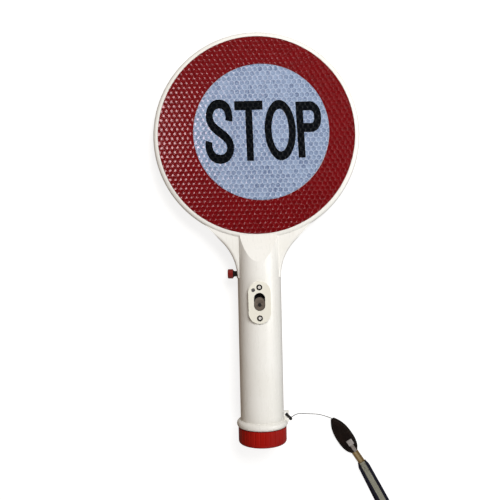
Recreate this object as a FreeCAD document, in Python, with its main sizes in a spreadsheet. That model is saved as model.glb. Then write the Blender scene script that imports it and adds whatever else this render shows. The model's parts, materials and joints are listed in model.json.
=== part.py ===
"""Lighted stop slow paddle: a round two-faced sign on a battery handle, with a wrist lanyard.

The paddle is drawn upright: Z runs up the handle from the end cap to the head, the sign's front
faces -Y and X points to the right. One rest placement then lays it on its back, leaning on the
collar and on the head's rear rim. The lanyard is drawn where it lies, in the laid-down frame.
"""
import FreeCAD, Part
import math
import os
import re
import Sketcher

V = FreeCAD.Vector
doc = FreeCAD.newDocument("StopSlowPaddle")

SIZES = [
    # head
    ("overall_length", 320),
    ("head_radius", 80),
    ("head_half", 9),
    ("rim_round", 3),
    ("head_inner_radius", 77.4),
    ("head_inner_half", 6.2),
    ("recess_radius", 76.3),
    ("recess_floor", 8.2),
    ("sheet_thickness", 0.5),
    ("ring_outer", 76.1),
    ("ring_inner", 52.6),
    ("disc_radius", 52.4),
    ("disc_side_offset", 3.9),
    ("disc_height_offset", 2.4),
    ("legend_side_offset", 1.7),
    ("legend_height_offset", 1),
    ("legend_stroke", 7),
    ("legend_squeeze", 0.77),
    ("legend_gap", 0.9),
    ("legend_thickness", 0.15),
    # web between the head and the handle
    ("web_half", 7.5),
    ("web_start", 130),
    ("web_arc", 40),
    ("web_bend_half", 27.46),
    ("web_bend_height", 157),
    ("web_top_half", 48),
    ("web_top_height", 179.5),
    ("web_round", 2.4),
    # handle
    ("handle_radius", 17),
    ("handle_bore", 14.5),
    ("handle_foot", 18.5),
    ("handle_top", 165),
    ("slope_start", 142.5),
    ("slope_end", 163),
    # foot with collar, spigot and lanyard eye
    ("collar_radius", 20),
    ("collar_base", 13),
    ("collar_round", 2.6),
    ("sleeve_radius", 14.4),
    ("sleeve_top", 30),
    ("foot_bore", 13),
    ("spigot_radius", 15.4),
    ("spigot_base", 3),
    ("lug_inner", 17.15),
    ("lug_outer", 20.9),
    ("lug_top", 24.4),
    ("lug_thickness", 2.4),
    ("eye_radius", 1.2),
    ("eye_offset", 18.9),
    ("eye_height", 22.2),
    ("seal_radius", 16.2),
    ("seal_height", 1.2),
    ("strip_inner", 12.35),
    ("strip_thickness", 0.3),
    ("strip_width", 5),
    ("strip_tail_width", 2.2),
    # end cap
    ("cap_radius", 18.9),
    ("cap_height", 12.7),
    ("cap_round", 2.5),
    ("cap_floor", 2.2),
    ("cap_bore", 16.6),
    ("flute_count", 30),
    ("flute_radius", 0.9),
    ("flute_centre", 19.55),
    ("thread_pitch", 3),
    ("thread_start", 5),
    ("thread_rise", 6),
    ("thread_depth", 0.8),
    ("thread_base_width", 1.3),
    ("thread_crest_width", 0.7),
    ("contact_radius", 11.9),
    ("contact_base", 2.6),
    ("contact_thickness", 0.8),
    # switch plate and slide switch
    ("plate_width", 17),
    ("plate_length", 32.4),
    ("plate_face", 18.4),
    ("plate_height", 111.5),
    ("plate_screw_upper", 123),
    ("plate_screw_lower", 99.5),
    ("plate_screw_head", 2.2),
    ("lamp_radius", 1.3),
    ("lamp_side", 4.7),
    ("lamp_height", 121),
    ("slot_width", 8.5),
    ("slot_length", 13.8),
    ("slot_height", 112),
    ("slider_width", 7.8),
    ("slider_length", 9.9),
    ("slider_face", 17.7),
    # push button
    ("button_height", 133),
    ("button_radius", 3.7),
    ("button_outer", 24.7),
    ("button_inner", 20.6),
    ("stem_radius", 2.2),
    ("bush_radius", 3.6),
    ("bush_bore", 2.6),
    ("bush_outer", 17.5),
    ("bush_inner", 10.9),
    # electrics
    ("board_base", 77),
    ("board_top", 126),
    ("board_width", 20),
    ("board_face", 6.4),
    ("board_thickness", 1.6),
    ("led_board_outer", 58),
    ("led_board_inner", 38),
    ("led_circle", 48),
    ("led_radius", 1.5),
    ("led_reach", 4.9),
    ("cartridge_radius", 12.2),
    ("cartridge_base", 17),
    ("cartridge_top", 68),
    ("cell_radius", 5.2),
    ("cell_circle", 6.75),
    ("cell_length", 44.5),
    # fasteners
    ("head_screw_circle", 67),
    ("head_screw_head", 3),
    ("head_screw_shank", 1.1),
    ("handle_screw_lower", 74),
    ("handle_screw_upper", 141.4),
    # lanyard
    ("hitch_radius", 2.3),
    ("hitch_wire", 0.55),
    ("hitch_turn", 50),
    ("knot_radius", 0.9),
    ("knot_reach", 5),
    ("cord_diameter", 0.6),
    ("tab_thickness", 3.2),
    ("tab_heading", 33),
    ("strap_width", 9.2),
    ("strap_thickness", 1.2),
    ("link_width", 5.5),
]

sizes = doc.addObject("Spreadsheet::Sheet", "Sizes")
for row, (alias, amount) in enumerate(SIZES, start=1):
    sizes.set("A%d" % row, alias)
    sizes.set("B%d" % row, str(amount))
    sizes.setAlias("B%d" % row, alias)
doc.recompute()
ALIASES = re.compile(r"\b(" + "|".join(alias for alias, _ in SIZES) + r")\b")

FRONT, REAR = -1, 1
AXES = {
    "z": FreeCAD.Rotation(),
    "y": FreeCAD.Rotation(V(1, 0, 0), -90),
    "-y": FreeCAD.Rotation(V(1, 0, 0), 90),
    "x": FreeCAD.Rotation(V(0, 1, 0), 90),
    "-x": FreeCAD.Rotation(V(0, 1, 0), -90),
}


def formula(text):
    """A formula in the sheet's names, as FreeCAD writes it."""
    return ALIASES.sub(r"Sizes.\1", str(text))


def number(text):
    """What a formula comes to now."""
    return float(sizes.evalExpression(formula(text)))


def put(item, at, axis="z"):
    """Turns a primitive's own Z to an axis and binds its place."""
    item.Placement = FreeCAD.Placement(V(), AXES[axis])
    for letter, text in zip("xyz", at):
        item.setExpression("Placement.Base." + letter, formula(text))
    return item


def body(name):
    return doc.addObject("PartDesign::Body", name)


def rod(owner, name, radius, height, at=(0, 0, 0), axis="z", cut=False):
    """A cylinder: a feature of a body, or on its own where owner is None."""
    if owner is None:
        item = doc.addObject("Part::Cylinder", name)
    else:
        kind = "PartDesign::SubtractiveCylinder" if cut else "PartDesign::AdditiveCylinder"
        item = owner.newObject(kind, name)
    item.setExpression("Radius", formula(radius))
    item.setExpression("Height", formula(height))
    return put(item, at, axis)


def block(owner, name, size, at=(0, 0, 0), cut=False):
    """A box whose corner of least x, y and z is at a place."""
    if owner is None:
        item = doc.addObject("Part::Box", name)
    else:
        kind = "PartDesign::SubtractiveBox" if cut else "PartDesign::AdditiveBox"
        item = owner.newObject(kind, name)
    for side, text in zip(("Length", "Width", "Height"), size):
        item.setExpression(side, formula(text))
    return put(item, at)


def outline(name, points, turn=None):
    """A closed sketch through points, each held by two bound distances from the origin."""
    sketch = doc.addObject("Sketcher::SketchObject", name)
    corners = [V(number(x), number(y), 0) for x, y in points]
    for start, end in zip(corners, corners[1:] + corners[:1]):
        sketch.addGeometry(Part.LineSegment(start, end))
    count = len(corners)
    for i in range(count):
        sketch.addConstraint(Sketcher.Constraint("Coincident", i, 2, (i + 1) % count, 1))
    for i, pair in enumerate(points):
        for kind, text, amount in zip(("DistanceX", "DistanceY"), pair, corners[i]):
            where = sketch.addConstraint(Sketcher.Constraint(kind, -1, 1, i, 1, amount))
            sketch.setExpression("Constraints[%d]" % where, formula(text))
    if turn is not None:
        sketch.Placement = FreeCAD.Placement(V(), turn)
    return sketch


def prism(name, points, depth, turn=None):
    """An outline pushed out both ways by half the depth."""
    item = doc.addObject("Part::Extrusion", name)
    item.Base = outline(name + "_outline", points, turn)
    item.DirMode = "Normal"
    item.Solid = True
    item.Symmetric = True
    item.setExpression("LengthFwd", formula(depth))
    return item


def fuse(name, *items):
    item = doc.addObject("Part::MultiFuse", name)
    item.Shapes = list(items)
    return item


def common(name, *items):
    item = doc.addObject("Part::MultiCommon", name)
    item.Shapes = list(items)
    return item


def cut(name, base, tool):
    item = doc.addObject("Part::Cut", name)
    item.Base = base
    item.Tool = tool
    return item


def group(name, items):
    item = doc.addObject("Part::Compound", name)
    item.Links = list(items)
    return item


def fillet(owner, base, name, radius, chosen):
    """Rounds the edges of a body's feature that chosen picks."""
    doc.recompute()
    names = ["Edge%d" % (i + 1) for i, edge in enumerate(base.Shape.Edges) if chosen(edge)]
    item = owner.newObject("PartDesign::Fillet", name)
    item.Base = (base, names)
    item.setExpression("Radius", formula(radius))
    return item


def is_circle_at(z, radius):
    """Picks the full circle of a radius about Z at a height."""

    def chosen(edge):
        curve = edge.Curve
        return (
            isinstance(curve, Part.Circle)
            and abs(curve.Center.z - z) < 1e-6
            and abs(curve.Radius - radius) < 1e-6
        )

    return chosen


def stadium(owner, name, width, length, depth, middle, base, cut=False):
    """A slot-shaped block that runs along Z, from y = base towards -Y."""
    straight = "(%s - %s)" % (length, width)
    half = "(%s) / 2" % width
    block(
        owner,
        name + "_waist",
        (width, depth, straight),
        ("-%s" % half, "%s - (%s)" % (base, depth), "%s - %s / 2" % (middle, straight)),
        cut,
    )
    for side, sign in (("upper", "+"), ("lower", "-")):
        place = (0, base, "%s %s %s / 2" % (middle, sign, straight))
        last = rod(owner, name + "_" + side, half, depth, place, "-y", cut)
    return last


def coil(radius, wire, turns, rise):
    """A round-wire spring about Z, from z = 0."""
    spine = Part.Wire(Part.makeLongHelix(rise / turns, rise, radius).Edges)
    ring = Part.Wire(Part.Circle(V(radius, 0, 0), V(0, 1, 0), wire).toShape())
    return spine.makePipeShell([ring], True, True)


def thread(base, crest):
    """A ridge that winds up about Z, from its base radius to its crest radius."""
    foot = number("thread_base_width") / 2
    top = number("thread_crest_width") / 2
    corners = [V(base, 0, -foot), V(crest, 0, -top), V(crest, 0, top), V(base, 0, foot)]
    ridge = Part.Wire(Part.makePolygon(corners + corners[:1]).Edges)
    helix = Part.makeHelix(number("thread_pitch"), number("thread_rise"), base)
    return Part.Wire(helix.Edges).makePipeShell([ridge], True, True)


def feature(name, shape, at=None):
    item = doc.addObject("Part::Feature", name)
    item.Shape = shape
    if at is not None:
        item.Placement = at
    return item


def route(points, least_radius):
    """Straight runs joined by tangent arcs. Returns the wire, its length and the arc radii."""
    edges, radii, start = [], [], points[0]
    for before, corner, after in zip(points, points[1:], points[2:]):
        inward = (corner - before).normalize()
        outward = (after - corner).normalize()
        turn = inward.getAngle(outward)
        shorter = min((corner - before).Length, (after - corner).Length)
        reach = 0.45 * shorter
        radius = reach / math.tan(turn / 2)
        radii.append(radius)
        if radius < least_radius or turn > math.pi / 2 + 1e-6:
            raise ValueError("a bend is too tight: %.1f mm" % radius)
        entry = corner - inward * reach
        leave = corner + outward * reach
        middle = corner + (outward - inward).normalize() * (radius / math.cos(turn / 2) - radius)
        edges.append(Part.makeLine(start, entry))
        edges.append(Part.Arc(entry, middle, leave).toShape())
        start = leave
    edges.append(Part.makeLine(start, points[-1]))
    wire = Part.Wire(edges)
    return wire, wire.Length, radii


def tube(name, points, diameter):
    """A round cord along a route."""
    wire, length, radii = route(points, 3 * diameter)
    heading = (points[1] - points[0]).normalize()
    ring = Part.Wire(Part.Circle(points[0], heading, diameter / 2).toShape())
    shape = wire.makePipeShell([ring], True, True)
    expected = math.pi * diameter**2 / 4 * length
    print(
        "%s: length %.1f, radii %s, volume %.2f of %.2f"
        % (name, length, ["%.1f" % r for r in radii], shape.Volume, expected)
    )
    return shape


# ------------------------------------------------------------------ the two shells
MIDDLE = "(overall_length - head_radius)"
SIDEWAYS = FreeCAD.Rotation(V(0, 1, 0), V(0, 0, 1), V(1, 0, 0), "XYZ")
UPRIGHT = FreeCAD.Rotation(V(1, 0, 0), 90)

disc_body = body("HeadBlank")
disc = rod(
    disc_body, "HeadDisc", "head_radius", "2 * head_half", (0, "head_half", MIDDLE), "-y"
)
fillet(disc_body, disc, "HeadRim", "rim_round", lambda e: isinstance(e.Curve, Part.Circle))

web_plan = [
    ("web_top_half", "web_top_height"),
    ("-web_top_half", "web_top_height"),
    ("-web_bend_half", "web_bend_height"),
    ("-web_bend_half", "web_start"),
    ("web_bend_half", "web_start"),
    ("web_bend_half", "web_bend_height"),
]
web_slab = prism("WebSlab", web_plan, "2 * web_half", UPRIGHT)
web_arcs = [
    rod(
        None,
        "WebArc" + side,
        "web_arc",
        "4 * web_half",
        ("%s(handle_radius + web_arc)" % sign, "2 * web_half", "web_start"),
        "-y",
    )
    for side, sign in (("Right", ""), ("Left", "-"))
]
web_flat = cut("WebFlat", web_slab, fuse("WebArcs", *web_arcs))
doc.recompute()
web = doc.addObject("Part::Fillet", "Web")
web.Base = web_flat


def is_web_border(edge):
    """The flared sides' edges on the web's two faces."""
    box = edge.BoundBox
    on_a_face = abs(abs(box.YMin) - number("web_half")) < 1e-6 and box.YLength < 1e-6
    return on_a_face and box.ZLength > 1


web.Edges = [
    (i + 1, number("web_round"), number("web_round"))
    for i, edge in enumerate(web_flat.Shape.Edges)
    if is_web_border(edge)
]


def tapered(name, radius, half, low, start, end, top):
    """A round bar along Z whose front and back slope in to a thinner top."""
    bar = rod(None, name + "Bar", radius, "%s - %s" % (top, low), (0, 0, low))
    side = [
        ("%s + 1" % radius, low),
        ("%s + 1" % radius, "%s - (%s - %s) / (%s - %s)" % (start, end, start, radius, half)),
        (half, end),
        (half, top),
        ("-(%s)" % half, top),
        ("-(%s)" % half, end),
        (
            "-(%s + 1)" % radius,
            "%s - (%s - %s) / (%s - %s)" % (start, end, start, radius, half),
        ),
        ("-(%s + 1)" % radius, low),
    ]
    return common(name, bar, prism(name + "Side", side, "2 * %s + 2" % radius, SIDEWAYS))


handle = tapered(
    "HandleBlank",
    "handle_radius",
    "head_half - 0.05",
    "handle_foot",
    "slope_start",
    "slope_end",
    "handle_top",
)
handle_hollow = tapered(
    "HandleHollow",
    "handle_bore",
    "head_inner_half - 0.05",
    "handle_foot - 1",
    "slope_start - 1.5",
    "slope_end - 0.5",
    "handle_top + 1",
)
head_hollow = rod(
    None,
    "HeadHollow",
    "head_inner_radius",
    "2 * head_inner_half",
    (0, "head_inner_half", MIDDLE),
    "-y",
)
blank = fuse("PaddleBlank", disc_body, web, handle)
hollow = fuse("PaddleHollow", handle_hollow, head_hollow)
hull = cut("PaddleHull", blank, hollow)



def round_the_head(circle, degrees):
    """A place across and up the paddle, on a circle about the head's middle."""
    a = math.radians(degrees)
    return "%s * %.9f" % (circle, math.sin(a)), "%s + %s * %.9f" % (MIDDLE, circle, math.cos(a))


HEAD_SCREWS = [round_the_head("head_screw_circle", turn) for turn in (45, 135, 225, 315)]
POSTS = [round_the_head("led_circle", turn) for turn in (0, 90, 180, 270)]
HANDLE_SCREWS = [(0, "handle_screw_lower"), (0, "handle_screw_upper")]


def shell(name, side):
    """One half of the hull, with its recess, bosses and holes."""
    way = "y" if side == REAR else "-y"
    sign = "" if side == REAR else "-"
    space = block(
        None,
        name + "_space",
        ("4 * head_radius", "2 * collar_radius", "2 * overall_length"),
        ("-2 * head_radius", 0 if side == REAR else "-2 * collar_radius", "-1"),
    )
    half = common(name + "_half", hull, space)
    added, removed = [], []

    def boss(label, radius, x, z, reach):
        added.append(
            rod(None, label, radius, "%s - 0.15" % reach, (x, sign + "0.15", z), way)
        )

    def hole(label, radius, x, z, start, end):
        """A hole along Y between two distances from the parting plane, on this side."""
        place = (x, "%s(%s)" % (sign, start), z)
        removed.append(rod(None, label, radius, "%s - %s" % (end, start), place, way))

    recess_reach = "head_half + 1"
    hole(name + "_recess", "recess_radius", 0, MIDDLE, "recess_floor", recess_reach)
    for i, (x, z) in enumerate(HEAD_SCREWS):
        boss("%s_head_boss_%d" % (name, i), "head_screw_head + 1.2", x, z, "head_inner_half + 0.1")
        if side == REAR:
            hole("%s_head_hole_%d" % (name, i), "head_screw_shank + 0.3", x, z, "0", "head_half")
            hole("%s_head_sink_%d" % (name, i), "head_screw_head + 0.1", x, z, "6", "head_half")
        else:
            hole("%s_head_hole_%d" % (name, i), "head_screw_shank + 0.02", x, z, "0", "5.6")
    for i, (x, z) in enumerate(POSTS):
        label = "%s_post_%d" % (name, i)
        reach = "head_inner_half - board_thickness / 2 + 0.1"
        start = "%s(board_thickness / 2)" % sign
        added.append(rod(None, label, 2, reach, (x, start, z), way))
    for i, (x, z) in enumerate(HANDLE_SCREWS):
        grip_boss = "3.8" if side == REAR else "2.9"
        boss("%s_grip_boss_%d" % (name, i), grip_boss, x, z, "handle_bore + 0.5")
        if side == REAR:
            hole("%s_grip_hole_%d" % (name, i), "head_screw_shank + 0.3", x, z, "0", "handle_radius")
            hole("%s_grip_sink_%d" % (name, i), "2.8", x, z, "13.4", "handle_radius + 1")
        else:
            hole("%s_grip_hole_%d" % (name, i), "head_screw_shank + 0.02", x, z, "0", "11")
    seat = rod(
        None,
        name + "_button_seat",
        "bush_radius + 2.2",
        "2.3",
        ("-(bush_outer - 2.6)", 0, "button_height"),
        "x",
    )
    added.append(common(name + "_button_boss", seat, space))
    removed.append(
        rod(
            None,
            name + "_button_hole",
            "bush_radius + 0.05",
            "8",
            ("-(bush_outer + 0.5)", 0, "button_height"),
            "x",
        )
    )
    if side == FRONT:
        window = body(name + "_window")
        stadium(
            window, name + "_slot", "slot_width", "slot_length", "10", "slot_height", "-10"
        )
        removed.append(window)
        hole(name + "_lamp_hole", "lamp_radius + 0.2", "-lamp_side", "lamp_height", "10", "20")
        for i, z in enumerate(("plate_screw_upper", "plate_screw_lower")):
            boss_label = "%s_plate_boss_%d" % (name, i)
            added.append(
                rod(None, boss_label, 2.2, "3", (0, "-(handle_bore - 2.7)", z), "-y")
            )
            hole("%s_plate_hole_%d" % (name, i), "1.12", 0, z, "10", "20")
    whole = fuse(name + "_bossed", half, *added)
    return cut(name, whole, fuse(name + "_holes", *removed))


nodes = {}
nodes["front_shell"] = shell("front_shell", FRONT)
nodes["rear_shell"] = shell("rear_shell", REAR)

# ------------------------------------------------------------------ sheets and legends
for label, side in (("front", FRONT), ("rear", REAR)):
    way = "y" if side == REAR else "-y"
    depth = "recess_floor" if side == REAR else "-recess_floor"
    face = (0, depth, MIDDLE)
    opening = ("%d * disc_side_offset" % -side, depth, MIDDLE + " + disc_height_offset")
    ring = body(label + "_red_ring")
    rod(ring, label + "_ring_sheet", "ring_outer", "sheet_thickness", face, way)
    rod(ring, label + "_ring_opening", "ring_inner", "sheet_thickness", opening, way, cut=True)
    white = body(label + "_white_disc")
    rod(white, label + "_disc_sheet", "disc_radius", "sheet_thickness", opening, way)
    nodes[label + "_red_ring"] = ring
    nodes[label + "_white_disc"] = white


def arc_points(centre, radii, start, end, steps=14):
    """Points on an ellipse, with angles in degrees from +X."""
    found = []
    for i in range(steps + 1):
        a = math.radians(start + (end - start) * i / steps)
        found.append((centre[0] + radii[0] * math.cos(a), centre[1] + radii[1] * math.sin(a)))
    return found


def ribbon(points, width):
    """The outline of a flat band of even width along a path."""
    left, right = [], []
    for i, (x, z) in enumerate(points):
        before, after = points[max(i - 1, 0)], points[min(i + 1, len(points) - 1)]
        dx, dz = after[0] - before[0], after[1] - before[1]
        size = math.hypot(dx, dz)
        left.append((x - dz / size * width / 2, z + dx / size * width / 2))
        right.append((x + dz / size * width / 2, z - dx / size * width / 2))
    return left + right[::-1]


# The middle of an S's stroke, as shares of half its width and height.
S_SPINE = [
    (0.85, 0.38),
    (0.84, 0.66),
    (0.48, 0.94),
    (0, 1),
    (-0.5, 0.94),
    (-0.86, 0.66),
    (-0.8, 0.36),
    (-0.42, 0.13),
    (0.5, -0.19),
    (0.9, -0.42),
    (0.96, -0.66),
    (0.6, -0.93),
    (0.05, -1),
    (-0.5, -0.93),
    (-0.9, -0.68),
    (-0.94, -0.35),
]


def letter_outlines(letter, width, height, stroke):
    """The outlines of a letter's strokes, and of its hole, about the middle of its box."""
    w, h, s = width / 2 - stroke / 2, height / 2 - stroke / 2, stroke
    bar, foot = height / 2, -height / 2
    stem = ribbon([(-w, bar), (-w, foot)], s)
    if letter == "T":
        return [ribbon([(-width / 2, h), (width / 2, h)], s), ribbon([(0, h), (0, foot)], s)], []
    if letter == "L":
        return [stem, ribbon([(-w, -h), (width / 2, -h)], s)], []
    if letter == "P":
        bowl_depth = h * 0.92
        bend = bowl_depth * 0.42
        bowl = [(-w, h)]
        bowl += arc_points((w - bend, h - bend), (bend, bend), 90, 0)
        bowl += arc_points((w - bend, h - bowl_depth + bend), (bend, bend), 0, -90)
        bowl += [(-w, h - bowl_depth)]
        return [stem, ribbon(bowl, s)], []
    if letter == "O":
        outer = arc_points((0, 0), (width / 2, height / 2), 0, 360, 72)[:-1]
        inner = arc_points((0, 0), (width / 2 - s, height / 2 - s), 0, 360, 72)[:-1]
        return [outer], [inner]
    if letter == "W":
        lines = [((-w, bar), (-w / 2, foot)), ((w, bar), (w / 2, foot))]
        lines += [((x, foot), (0, bar)) for x in (-w / 2, w / 2)]
        return [ribbon(line, s * 0.92) for line in lines], []
    spine = Part.BSplineCurve()
    spine.interpolate([V(x * w, 0, z * h) for x, z in S_SPINE])
    return [ribbon([(p.x, p.z) for p in spine.discretize(81)], s)], []


def legend(name, letters, side):
    """Printed letters on a disc, read from their own side. Each is (letter, width, height, slant)."""
    gap = number("legend_gap")
    squeeze = number("legend_squeeze")
    thickness = number("legend_thickness")
    total = sum(row[1] for row in letters) + gap * (len(letters) - 1)
    left = -total / 2
    solids = []
    for letter, width, height, slant in letters:
        strokes, holes = letter_outlines(letter, width / squeeze, height, number("legend_stroke"))
        faces = []
        for rim in strokes + holes:
            corners = [V(x * squeeze - z * slant, 0, z) for x, z in rim]
            faces.append(Part.Face(Part.makePolygon(corners + corners[:1])))
        face = faces[0]
        if len(strokes) > 1:
            face = face.multiFuse(faces[1 : len(strokes)]).removeSplitter()
        for hole in faces[len(strokes) :]:
            face = face.cut(hole)
        solid = face.extrude(V(0, -thickness, 0))
        if solid.Volume < 0:
            solid.reverse()
        solid.translate(V(left + width / 2, 0, 0))
        solids.append(solid)
        left += width + gap
    across = number("disc_side_offset + legend_side_offset")
    height = number(MIDDLE + " + disc_height_offset + legend_height_offset")
    depth = number("recess_floor + sheet_thickness")
    turn = FreeCAD.Rotation(V(0, 0, 1), 180 if side == REAR else 0)
    place = FreeCAD.Placement(V(-side * across, side * depth, height), turn)
    return feature(name, Part.makeCompound(solids), place)


STOP = [
    ("S", 22.7, 49.6, 0),
    ("T", 21.8, 46.3, 0.02),
    ("O", 24, 46.7, 0.03),
    ("P", 19.1, 43.2, 0.043),
]
SLOW = [("S", 21.6, 49, 0), ("L", 15.6, 46.3, 0), ("O", 23, 46.7, 0), ("W", 27.4, 43.2, 0)]
nodes["front_stop_legend"] = legend("front_stop_legend", STOP, FRONT)
nodes["rear_slow_legend"] = legend("rear_slow_legend", SLOW, REAR)

# ------------------------------------------------------------------ lamps in the head
ring_board = body("led_board")
board_place = (0, "board_thickness / 2", MIDDLE)
rod(ring_board, "LedBoardBlank", "led_board_outer", "board_thickness", board_place, "-y")
rod(ring_board, "LedBoardOpening", "led_board_inner", "board_thickness", board_place, "-y", cut=True)
nodes["led_board"] = ring_board
for label, side in (("front", FRONT), ("rear", REAR)):
    way = "y" if side == REAR else "-y"
    sign = "" if side == REAR else "-"
    lamps = []
    for i in range(12):
        across, height = round_the_head("led_circle", 15 + 30 * i)
        place = (across, sign + "(board_thickness / 2)", height)
        reach = "led_reach - board_thickness / 2"
        lamps.append(rod(None, "%s_led_%d" % (label, i), "led_radius", reach, place, way))
    nodes[label + "_leds"] = group(label + "_leds", lamps)


def wires(name, routes, diameter=1.0):
    """Insulated wires, each along its own route."""
    shapes = [tube(name, [V(*p) for p in points], diameter) for points in routes]
    return feature(name, Part.makeCompound(shapes))


LED_ROUTES = [
    [(x, -4.2, 120), (x, -4.1, 132), (x, -0.5, 152), (x, 1.35, 172), (x, 1.4, 187)]
    for x in (5.6, 8.4)
]
nodes["led_leads"] = wires("led_leads", LED_ROUTES)
BATTERY_ROUTES = [
    [(-5.6, 0.5, 70.6), (-5.4, -1.6, 75.5), (-5.2, -4.2, 80.5), (-5.2, -4.3, 85)],
    [(11.7, 0.4, 78), (10.6, -1.4, 82), (8.4, -3.7, 85.5), (6, -4.3, 89)],
]
nodes["battery_leads"] = wires("battery_leads", BATTERY_ROUTES)

# ------------------------------------------------------------------ switch plate
plate = body("switch_plate")
stadium(
    plate, "PlateBlank", "plate_width", "plate_length", "plate_face - 14", "plate_height", "-14"
)
rod(
    plate,
    "PlateSaddle",
    "handle_radius + 0.03",
    "plate_length + 10",
    (0, 0, "plate_height - plate_length / 2 - 5"),
    cut=True,
)
stadium(
    plate, "PlateSlot", "slot_width", "slot_length", "10", "slot_height", "-12", cut=True
)
rod(
    plate, "PlateLampHole", "lamp_radius + 0.15", 10, ("-lamp_side", -12, "lamp_height"), "-y", cut=True
)
for label, z in (("Upper", "plate_screw_upper"), ("Lower", "plate_screw_lower")):
    rod(plate, "PlateHole" + label, 1.12, 10, (0, -12, z), "-y", cut=True)
    place = (0, "-(plate_face - 0.9)", z)
    rod(plate, "PlateSink" + label, "plate_screw_head + 0.1", 4, place, "-y", cut=True)
nodes["switch_plate"] = plate


def screws(name, rows, head, shank, way):
    """Screws with a cross slot. Rows are the heads' undersides; head and shank are (radius, length)."""
    back, outward = {"y": ("-y", "+"), "-y": ("y", "-")}[way]
    made = []
    for i, (x, y, z) in enumerate(rows):
        label = "%s_%d" % (name, i)
        screw = body(label)
        rod(screw, label + "_head", *head, (x, y, z), way)
        rod(screw, label + "_shank", *shank, (x, y, z), back)
        floor = "%s %s (%s)" % (y, outward, head[1])
        if outward == "+":
            floor += " - %s" % SLOT_DEPTH
        for turn, (length, height) in enumerate(((1.4, 0.4), (0.4, 1.4))):
            corner = ("%s - %s" % (x, length / 2), floor, "%s - %s" % (z, height / 2))
            slot_name = "%s_slot_%d" % (label, turn)
            block(screw, slot_name, (length, SLOT_DEPTH, height), corner, cut=True)
        made.append(screw)
    return group(name, made)


SLOT_DEPTH = 0.5
PLATE_SINK = "-(plate_face - 0.9)"
plate_rows = [(0, PLATE_SINK, z) for z in ("plate_screw_upper", "plate_screw_lower")]
head_rows = [(x, "6", z) for x, z in HEAD_SCREWS]
grip_rows = [(x, "13.4", z) for x, z in HANDLE_SCREWS]
for name, rows, head, shank, way in (
    ("plate_screws", plate_rows, ("plate_screw_head", "0.9"), ("1.1", "5"), "-y"),
    ("head_screws", head_rows, ("head_screw_head", "1.9"), ("head_screw_shank", "11"), "y"),
    ("handle_screws", grip_rows, ("2.7", "1.8"), ("head_screw_shank", "23"), "y"),
):
    nodes[name] = screws(name, rows, head, shank, way)

lamp = body("indicator_led")
lamp_place = ("-lamp_side", "-board_face", "lamp_height")
rod(lamp, "LampBarrel", "lamp_radius", "plate_face - board_face - 0.3", lamp_place, "-y")
rod(lamp, "LampFoot", "lamp_radius + 0.5", 1, lamp_place, "-y")
nodes["indicator_led"] = lamp

# ------------------------------------------------------------------ slide switch
SLIDER_MIDDLE = "slot_height - slot_length / 2 + slider_length / 2 + 0.35"
slider = body("switch_slider")
stadium(
    slider, "SliderBlank", "slider_width", "slider_length", "slider_face - 12", SLIDER_MIDDLE, "-12"
)
for i, rise in enumerate((-2.2, -1.1, 1.1, 2.2)):
    corner = ("-2.6", "-slider_face", "%s + %s - 0.2" % (SLIDER_MIDDLE, rise))
    block(slider, "SliderRib%d" % i, ("5.2", "0.4", "0.4"), corner, cut=True)
rod(slider, "SliderDimple", 0.8, 0.6, (0, "-(slider_face - 0.6)", SLIDER_MIDDLE), "-y", cut=True)
nodes["switch_slider"] = slider

slide_switch = body("slide_switch_body")
block(
    slide_switch,
    "SlideSwitchCase",
    ("8.4", "11.6 - board_face", "14"),
    ("-4.2", "-11.6", "slot_height - 7"),
)
nodes["slide_switch_body"] = slide_switch

# ------------------------------------------------------------------ push button


def at_button(x):
    """A place on the push button's axis."""
    return (x, 0, "button_height")


BUTTON_BASE = at_button("-button_inner")
cap_button = body("push_cap")
rod(cap_button, "ButtonCap", "button_radius", "button_outer - button_inner", BUTTON_BASE, "-x")
doc.recompute()
crown = cap_button.newObject("PartDesign::Fillet", "ButtonCrown")
outer_edges = [
    "Edge%d" % (i + 1)
    for i, edge in enumerate(doc.ButtonCap.Shape.Edges)
    if isinstance(edge.Curve, Part.Circle) and edge.Curve.Center.x < -number("button_outer") + 0.01
]
crown.Base = (doc.ButtonCap, outer_edges)
crown.Radius = 0.8
rod(cap_button, "ButtonSocket", "stem_radius * 0.7", "2.2", BUTTON_BASE, "-x", cut=True)
nodes["push_cap"] = cap_button

stem = body("push_stem")
rod(stem, "StemBody", "stem_radius", "button_inner - 11.5", at_button("-11.5"), "-x")
flare = stem.newObject("PartDesign::AdditiveCone", "StemFlare")
flare.setExpression("Radius1", formula("stem_radius"))
flare.setExpression("Radius2", formula("button_radius - 0.4"))
flare.Height = 1
put(flare, at_button("-(button_inner - 1)"), "-x")
rod(stem, "StemTip", "stem_radius * 0.68", "2.1", BUTTON_BASE, "-x")
rod(stem, "StemTail", "1", "4.2", at_button("-11.6"), "x")
nodes["push_stem"] = stem

tail_coil = coil(1.6, 0.22, 3.5, 3.4)
coil_turn = FreeCAD.Rotation(V(0, 1, 0), 90)
nodes["button_spring"] = feature(
    "button_spring",
    tail_coil,
    FreeCAD.Placement(V(-11.2, 0, number("button_height")), coil_turn),
)

bush = body("push_bush")
bush_place = at_button("-bush_inner")
rod(bush, "BushBarrel", "bush_radius", "bush_outer - bush_inner", bush_place, "-x")
rod(bush, "BushBore", "bush_bore", "bush_outer - bush_inner", bush_place, "-x", cut=True)
nodes["push_bush"] = bush

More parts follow.
